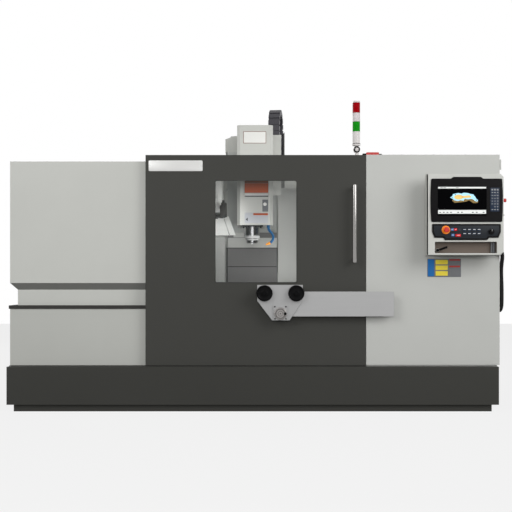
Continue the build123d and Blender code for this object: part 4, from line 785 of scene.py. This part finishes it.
screenShape("partSide", "screenOchre", [
    (1382, 1478), (1400, 1462), (1478, 1470), (1500, 1480), (1528, 1460), (1560, 1462),
    (1562, 1476), (1520, 1500), (1440, 1505), (1392, 1496)], -195.65)
screenShape("partTop", "screenBlue", [
    (1368, 1497), (1384, 1510), (1388, 1522), (1404, 1526), (1424, 1530), (1446, 1526),
    (1462, 1532), (1492, 1530), (1508, 1524), (1530, 1520), (1540, 1508), (1548, 1492),
    (1562, 1480), (1556, 1470), (1540, 1474), (1526, 1486), (1508, 1490), (1494, 1486),
    (1470, 1490), (1462, 1476), (1440, 1480), (1420, 1474), (1396, 1480), (1388, 1490)], -195.95)
screenShape("partPocket", "screenYellow", lobe(1428, 1502, 31, 16), -196.25)
screenShape("partSlot", "screenYellow", [
    (1452, 1510), (1500, 1514), (1514, 1508), (1512, 1498), (1480, 1496), (1452, 1496)], -196.25)
holes = ((1382, 1499), (1404, 1519), (1470, 1484), (1536, 1513), (1550, 1480))
for number, (x, z) in enumerate(holes):
    screenShape(f"partHole{number}", "screenDark", lobe(x, z, 3.6, 2.8, 14), -196.5)


# Operator panel foil, keys and marks
panel = {"keyTop": -199.2, "keyBack": -197.9, "keyMark": (-199.6, -199.1),
         "foilMark": (-196.4, -195.9), "knob": (1652.7, 1262.0), "stop": (1338.5, 1275.0)}
foil = [(1257.0, 1305.5), (1255.5, 1266.0), (1269.5, 1232.5), (1328.5, 1232.5), (1341.0, 1216.5),
        (1617.5, 1216.5), (1630.0, 1232.5), (1694.0, 1232.5), (1708.0, 1266.0), (1706.5, 1305.5)]
makePiece("panelFoil", "panelFoil", "pendant", lambda mesh: addPlate(
    mesh, foil, (-196.5, -195.9), 0.2))
makePiece("keypadField", "keySlate", "pendant", lambda mesh: addPlate(
    mesh, rounded((1645.5, 1707.5), (1402.0, 1565.5), 5.0), (-200.4, -199.9), 0.1))
# painted shadow: a thin black strip at the pendant's left edge stands in for the shadow gap against
# the cabinet
makePiece("pendantShadowStrip", "rubberBlack", "pendant", lambda mesh: addBox(
    mesh, (1212.6, 1217.2), (-190.6, -168.0), (1103.0, 1661.0)))


def keyPlate(name, finish, places, tall=8.6):
    def build(mesh):
        for x, z, half in places:
            addPlate(
                mesh, rounded((x - half, x + half), (z - tall, z + tall), 2.4, 3),
                (panel["keyTop"], panel["keyBack"]), 0.5)
    makePiece(name, finish, "pendant", build)


keyPlate("panelKeysBlue", "keyBlue", [(1383.0, 1277.8, 10.4), (1387.1, 1239.8, 10.4)])
keyPlate("panelKeysRed", "keyRed", [(1405.7, 1277.8, 10.4), (1424.0, 1237.7, 18.4)])
keyPlate("panelKeyDark", "keyDark", [(1430.6, 1276.4, 10.4)])
smallKeys = [(1468.5 + column * 33.2, z, 12.0) for column in range(4) for z in (1276.4, 1250.8)]
keyPlate("panelKeysSmall", "keySlate", smallKeys, tall=8.4)


def buildPanelMarks(mesh):
    for x, z, half in smallKeys:
        half *= 0.72
        middle = z + (2.0 if z > 1260 else -1.0)
        addBox(mesh, (x - half, x + half), panel["keyMark"], (middle - 1.6, middle + 1.6))
    for x, z, half in (
        (1383.0, 1277.8, 6.0), (1387.1, 1239.8, 6.0), (1405.7, 1277.8, 5.0), (1424.0, 1237.7, 10.0),
    ):
        addBox(mesh, (x - half, x + half), panel["keyMark"], (z - 1.2, z + 1.2))
    for x, z in (
        ((1274.0, 1297.0), (1281.5, 1288.0)), ((1600.0, 1640.0), (1290.0, 1293.5)),
        ((1668.0, 1692.0), (1290.0, 1293.5)),
    ):
        addBox(mesh, x, panel["foilMark"], z)
    x, z = panel["knob"]
    for step in range(11):  # scale round the knob
        turn = math.radians(-135 + step * 27)
        addTick(mesh, (x + 27.0 * math.sin(turn), -196.2, z + 27.0 * math.cos(turn)), turn,
                (1.3, 0.5, 5.0))


makePiece("panelMarks", "markWhite", "pendant", buildPanelMarks)


def buildStopRing(mesh):
    x, z = panel["stop"]
    addTurning(mesh, "Y", (x, 0, z), [
        (14.0, -195.9), (29.0, -195.9), (29.6, -197.4), (29.2, -203.6), (26.4, -205.2),
        (20.0, -204.6), (14.5, -203.6), (14.0, -202.0), (14.0, -195.9)], 56)


makePiece("stopRing", "ringYellow", "pendant", buildStopRing)


def buildKnobPointer(mesh):
    addBox(mesh, (1651.5, 1653.9), (-223.0, -222.2), (1266.0, 1279.0), 0.2, 1)


makePiece("knobPointer", "markWhite", "override_knob", buildKnobPointer)


# brown lining at the back of the pendant's niche, its dark tone partly painted shade of the recess
def buildNicheBack(mesh):
    addBox(mesh, (1266.5, 1691.5), (-131.6, -130.2), (1116.8, 1192.0), 0.4, 1)
    addBox(mesh, (1690.4, 1691.8), (-187.0, -132.0), (1118.0, 1191.0), 0.3, 1)


makePiece("nicheLining", "nicheBrown", "pendant", buildNicheBack)


def buildNicheStrips(mesh):
    addBox(mesh, (1662.0, 1668.0), (-160.0, -131.0), (1118.0, 1191.0), 1.0)
    addBox(mesh, (1674.0, 1687.0), (-150.0, -131.0), (1118.0, 1191.0), 1.0)


makePiece("nicheStrips", "labelGrey", "pendant", buildNicheStrips)


def buildSockets(mesh):
    addRod(mesh, "X", (0, -150.0, 1411.0), (1740.0, 1747.0), 5.0, bevel=1.0, sides=24)
    addRod(mesh, "X", (0, -150.0, 1380.0), (1740.0, 1752.0), 6.5, bevel=1.5, sides=24)
    addBox(mesh, (1740.0, 1743.0), (-162.0, -138.0), (1368.0, 1422.0), 1.0)


makePiece("pendantSockets", "rubberBlack", "pendant", buildSockets)

plaque = {"x": (1244.6, 1484.6), "z": (951.6, 1081.5), "face": -2.6, "redColumn": (1400.0, 1478.0)}


def plaqueField(name, finish, x, z):
    makePiece(name, finish, "frame", lambda mesh: addPlate(
        mesh, rounded(x, z, 1.5, 2), (plaque["face"], -1.4), 0.2))


makePiece("plaque", "labelGrey", "frame", lambda mesh: addPlate(
    mesh, rounded(plaque["x"], plaque["z"], 4.0, 4), (-1.6, 0.0), 0.4))
plaqueField("plaqueBlue", "labelBlue", (1249.0, 1294.0), (956.0, 1077.0))
for number, z in enumerate((961.0, 1001.0, 1041.0)):
    plaqueField(f"plaqueYellow{number}", "labelYellow", (1304.0, 1390.0), (z, z + 32.0))
plaqueField("plaqueRedUpper", "labelRed", plaque["redColumn"], (1068.0, 1077.0))
plaqueField("plaqueRedLower", "labelRed", plaque["redColumn"], (1020.0, 1032.0))
print("pendant dressed")

# Head: pale plate above, coloured fields below it, nose ring and coolant hoses
head = {"front": 520.0, "spindle": (0, 700), "screwCircle": 72.5,
        "hoses": (622.0, 676.0), "manifold": (126.0, 1336.0, 1361.5)}


def headField(name, finish, x, z, lift=1.2, radius=2.0):
    makePiece(name, finish, "head", lambda mesh: addPlate(
        mesh, rounded(x, z, radius, 3), (head["front"] - lift, head["front"]), 0.3))


for field in (
    ("headPlateEdge", "labelRust", (-67.4, 106.8), (1974.3, 2064.9), 1.0, 3.0),
    ("headPlate", "labelWhite", (-64.0, 103.4), (1977.7, 2061.5), 2.0, 2.0),
    ("headPanelEdge", "troughPlate", (-57.0, 125.0), (1572.0, 1701.0), 0.8),
    ("headPanel", "labelOrange", (-57.0, 123.0), (1597.0, 1669.0), 2.4),
    # painted shadow: the darker rust band at the top of the orange panel stands in for the shade
    # cast by the top edge of the door window
    ("headPanelTop", "labelRust", (-57.0, 123.0), (1670.5, 1689.0), 2.4, 1.0),
    ("headPanelStrip", "platePale", (-57.0, 123.0), (1576.0, 1596.0), 2.6),
    ("headPanelGap", "rubberBlack", (-57.0, 124.0), (1567.0, 1574.5), 1.4, 1.0),
    ("headLabel", "labelGrey", (78.0, 122.0), (1453.0, 1545.0), 1.2),
    ("headLabelLow", "labelSilver", (-57.0, 122.0), (1366.0, 1445.0), 1.2),
    ("headLabelBar", "labelOrange", (9.0, 121.0), (1426.0, 1441.0), 1.9, 1.0),
):
    headField(*field)
makePiece("headLabelMark", "rubberBlack", "head", lambda mesh: addPlate(
    mesh, [(-48.0, 1394.0), (-34.0, 1408.0), (-34.0, 1381.0)],
    (head["front"] - 1.9, head["front"]), 0.2))


def buildDisc(mesh):
    front = head["front"]
    addRod(mesh, "Y", (98.0, 0, 1510.0), (front - 2.6, front - 1.0), 13.0, bevel=0.4)


makePiece("headDisc", "labelWhite", "head", buildDisc)


def buildNoseRing(mesh):
    addTurning(mesh, "Z", (*head["spindle"], 0), [
        (46.0, 1361.8), (84.0, 1361.8), (86.0, 1359.5), (86.0, 1349.0), (83.0, 1346.0),
        (60.5, 1346.0), (58.0, 1348.5), (58.0, 1358.0), (46.0, 1358.0), (46.0, 1361.8)], 56)
    (x, y), orbit, screws = head["spindle"], head["screwCircle"], 8
    for index in range(screws):
        turn = math.tau * (index + 0.5) / screws
        addRod(mesh, "Z", (x + orbit * math.cos(turn), y + orbit * math.sin(turn), 0),
               (1338.0, 1347.0), 6.0, bevel=1.0, sides=18)


makePiece("noseRing", "screwDark", "head", buildNoseRing)


def buildNoseCollar(mesh):
    addTurning(mesh, "Z", (*head["spindle"], 0), [
        (54.0, 1277.0), (56.8, 1277.0), (57.6, 1275.5), (57.6, 1257.0), (55.0, 1252.0),
        (50.0, 1246.4), (47.0, 1242.0), (45.2, 1241.0), (45.2, 1245.0), (54.0, 1256.0),
        (54.0, 1277.0)], 64)


makePiece("noseCollar", "nosePale", "spindle", buildNoseCollar)


# Folded edges and wiper of the aprons behind the head, seen through the window
apron = {"half": 204.5, "fold": 1204.0, "top": 1286.0}


def darkSeam(name, body, x, y, z):
    makePiece(name, "coverBlack", body, lambda mesh: addBox(mesh, x, y, z))


left, right = -apron["half"], apron["half"]
darkSeam("apronTopSeam", "head", (left, right), (1235.3, 1236.3), (1198.5, apron["fold"]))
darkSeam("apronLowSeam", "frame", (left, right), (1230.8, 1232.4), (1042.5, 1047.4))
darkSeam("apronLeftGap", "frame", (-217.0, -206.0), (1238.0, 1243.8), (900.0, 1203.0))
darkSeam("apronRightGap", "frame", (206.0, 210.0), (1238.0, 1243.8), (900.0, 1203.0))
shelf = [(left, apron["fold"]), (right, apron["fold"]), (right, apron["top"]), (left, apron["top"])]
makePiece("apronShelf", "innerPaint", "head", lambda mesh: addPlate(
    mesh, shelf, (1235.3, 1236.2), 0.2))
makePiece("wayWiper", "lightPaint", "head", lambda mesh: addBox(
    mesh, (-157.0, -66.0), (1222.0, 1236.2), (1289.0, 1329.5), 1.5))


def buildDriveCover(mesh):
    addBox(mesh, (-243.0, -223.5), (429.0, 509.0), (1421.0, 1491.0), 1.5)
    addBox(mesh, (-233.5, -192.8), (428.6, 509.4), (1420.6, 1513.2), 1.5)
    addBox(mesh, (-227.2, -208.8), (443.8, 496.2), (1511.0, 1535.2), 1.5)
    addBox(mesh, (-243.0, -233.0), (499.0, 613.0), (1469.0, 1501.0), 1.0)


makePiece("driveCover", "coverBlack", "magazine", buildDriveCover)


def hosePoints(y):
    return [Vector(point) for point in (
        (126, y, 1340), (130, y, 1322), (142, y + 2, 1306), (156, y + 4, 1288), (164, y + 6, 1266),
        (160, y + 8, 1246), (150, y + 10, 1230), (136, y + 11, 1219))]


def smoothRun(points, steps=5):
    run = []
    for index in range(len(points) - 1):
        before = points[max(index - 1, 0)]
        here, there = points[index], points[index + 1]
        after = points[min(index + 2, len(points) - 1)]
        for step in range(steps):
            t = step / steps
            run.append(0.5 * (
                2 * here + (there - before) * t
                + (2 * before - 5 * here + 4 * there - after) * t * t
                + (3 * here - before - 3 * there + after) * t * t * t))
    run.append(points[-1])
    return run


def buildHoses(mesh):
    x, low, high = head["manifold"]
    for y in head["hoses"]:
        run = smoothRun(hosePoints(y))
        for index in range(1, len(run) - 1, 2):
            direction = (run[index + 1] - run[index - 1]).normalized()
            addCone(mesh, run[index], direction, 9.5, (10.5, 7.6), 20, 1.6)
        addRod(mesh, "Z", (x, y, 0), (low, high), 13.0, bevel=1.5, sides=6)


hosePiece = makePiece("hoseSegments", "hoseBlue", "head", buildHoses)
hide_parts("coolant_hoses")


def buildNozzles(mesh):
    direction = Vector((-0.92, 0.05, -0.38)).normalized()
    for y in head["hoses"]:
        tip = smoothRun(hosePoints(y))[-1]
        for start, length, radii in ((0.0, 12.0, (11.0, 11.0)), (11.0, 26.0, (9.0, 4.6))):
            middle = tip + direction * (start + length / 2 - 4)
            addCone(mesh, middle, direction, length, radii, 24, 0.9)


makePiece("hoseNozzles", "nozzleOrange", "head", buildNozzles)
print("head dressed")


# Tower light and interlock
def buildTowerTrim(mesh):
    for z in tower["joints"]:
        addRing(mesh, "Z", (*tower["centre"], z), 26.6, 1.3, 48, 8)
    addTurning(mesh, "Z", (*tower["centre"], 0), [
        (25.0, 2209.0), (27.6, 2209.0), (27.8, 2210.5), (27.4, 2217.5), (24.5, 2221.5),
        (18.0, 2222.8), (0.001, 2223.2)], 48)


makePiece("towerRings", "greyPlastic", "frame", buildTowerTrim)


def buildKnuckle(mesh):
    addRing(mesh, "Z", (*tower["centre"], 1914.0), 27.0, 2.4, 48, 8)
    addRing(mesh, "Y", (755.6, 98, 1871.0), 19.0, 4.6, 40, 10)


makePiece("towerKnuckleRing", "rubberBlack", "frame", buildKnuckle)


def buildInterlockEnds(mesh):
    addBox(mesh, (790.5, 817.0), (34.5, 65.5), (1820.0, 1833.5), 3.0)
    addBox(mesh, (905.0, 927.5), (36.5, 63.5), (1820.0, 1831.5), 3.0)


makePiece("interlockEnds", "rubberBlack", "frame", buildInterlockEnds)
print("roof dressed")

# Back, roof and tank: screw heads and door locks
screw = {"radius": 7.0, "reach": 3.6, "sunk": 0.4, "roof": 1815.0, "guard": 1778.0,
         "cabinet": 1820.0, "rear": 1265.0, "tank": 298.0}


def addScrew(mesh, axis, spot, reach=screw["reach"]):
    level = spot["XYZ".index(axis)]
    addRod(mesh, axis, spot, (level - screw["sunk"], level + reach), screw["radius"],
           bevel=1.2, sides=18)


def buildRoofScrews(mesh):
    for x in range(-730, 812, 192):
        addScrew(mesh, "Z", (x, 84, screw["roof"]))
        if not -300 < x < 330:
            addScrew(mesh, "Z", (x, 1240, screw["roof"]))
    for x in range(-1700, -760, 232):
        for y in (80, 1240):
            addScrew(mesh, "Z", (x, y, screw["guard"]))
    for x in range(840, 1770, 227):
        for y in (28, 1238):
            addScrew(mesh, "Z", (x, y, screw["cabinet"]))


def buildRearScrews(mesh):
    for z in range(420, 1680, 240):
        for x in (-735, 792):
            addScrew(mesh, "Y", (x, screw["rear"], z))
    for z in range(960, 1760, 262):
        for x in (-1700, -1240, -790):
            addScrew(mesh, "Y", (x, screw["rear"], z))
    for z in range(420, 1800, 262):
        for x in (836, 1290, 1750):
            addScrew(mesh, "Y", (x, screw["rear"], z))


def buildTankScrews(mesh):
    for x in range(-1610, -500, 182):
        for y in (1850, 2152):
            addScrew(mesh, "Z", (x, y, screw["tank"]), 4.0)


def buildDoorLocks(mesh):
    for z in (520.0, 1720.0):
        addTurning(mesh, "Y", (-388.0, 0, z), [
            (0.001, 2180.0), (15.0, 2180.0), (15.0, 2182.0), (12.5, 2184.6), (4.0, 2184.6),
            (3.2, 2183.0), (0.001, 2183.0)], 36)


makePiece("roofScrews", "screwDark", "frame", buildRoofScrews)
makePiece("rearScrews", "screwDark", "frame", buildRearScrews)
makePiece("tankScrews", "screwSteel", "frame", buildTankScrews)
makePiece("cabinetDoorLocks", "screwSteel", "cabinet_door", buildDoorLocks)
print("back dressed")

# Floor and light
studio = {"sky": 0.3, "white": (1, 1, 1), "floorShade": (0.22, 0.22, 0.22), "floorGlow": 0.84,
          "floorHalf": 14.0}

floorPale = bpy.data.materials.new("floorPale")
paving = Shader(floorPale)
paving.node("OutputMaterial", None, {"Surface": paving.node("MixShader", None, {
    0: paving.seen() * studio["floorGlow"],
    1: paving.node("BsdfDiffuse", None, {"Color": studio["floorShade"], "Roughness": 0.6}),
    2: paving.node("Emission", None, {"Color": studio["white"], "Strength": 1.0})})})

floorMesh = bmesh.new()
bmesh.ops.create_grid(floorMesh, x_segments=1, y_segments=1, size=studio["floorHalf"])
floorData = bpy.data.meshes.new("floor")
floorMesh.to_mesh(floorData)
floorMesh.free()
floorData.materials.append(floorPale)
floor = bpy.data.objects.new("floor", floorData)
scene.collection.objects.link(floor)

scene.world = bpy.data.worlds.new("studio")
sky = Shader(scene.world)
sky.node("OutputWorld", None, {"Surface": sky.node("MixShader", None, {
    0: sky.seen(),
    1: sky.node("Background", None, {"Color": studio["white"], "Strength": studio["sky"]}),
    2: sky.node("Background", None, {"Color": studio["white"], "Strength": 1.0})})})

lamps = {
    "keyLight": {
        "spot": (4200, -4100, 3300), "target": (300, 0, 1000), "size": (3.6, 3.2), "power": 172.0},
    "fillLight": {
        "spot": (-3600, -4600, 3500), "target": (-200, 0, 1000), "size": (3.0, 3.0),
        "power": 124.0},
    "frontLight": {
        "spot": (40, -7200, 1720), "target": (60, 300, 1150), "size": (1.4, 0.9), "power": 156.0,
        "mirrored": False},
    "rearLight": {
        "spot": (-3200, 6800, 4600), "target": (0, 900, 900), "size": (3.2, 2.6), "power": 210.0},
    "leftLight": {
        "spot": (-6200, 2400, 2800), "target": (-800, 800, 800), "size": (2.2, 2.2), "power": 70.0},
    "rightLight": {
        "spot": (6200, 2400, 2800), "target": (800, 800, 800), "size": (2.2, 2.2), "power": 70.0},
    "topLight": {
        "spot": (0, 600, 5200), "target": (0, 700, 0), "size": (4.0, 2.4), "power": 12.0},
    "workLight": {
        "spot": (-100, 140, 1330), "target": (-290, 800, 1420), "size": (0.3, 0.3), "power": 0.22,
        "spread": 40.0},
    "insideLight": {
        "spot": (430, 130, 880), "target": (230, 1250, 900), "size": (0.5, 0.12), "power": 8.0,
        "mirrored": False},
}


def softbox(name, spot, target, size, power, spread=180.0, mirrored=True):
    data = bpy.data.lights.new(name, "AREA")
    data.shape = "RECTANGLE"
    data.size, data.size_y = size
    data.energy = power
    data.spread = math.radians(spread)
    lamp = bpy.data.objects.new(name, data)
    lamp.location = place(*spot)
    lamp.rotation_euler = (place(*target) - lamp.location).to_track_quat("-Z", "Y").to_euler()
    lamp.visible_camera = False
    lamp.visible_glossy = mirrored
    scene.collection.objects.link(lamp)


for name, settings in lamps.items():
    softbox(name, **settings)
scene.view_settings.view_transform = "Standard"

print("scene ready")
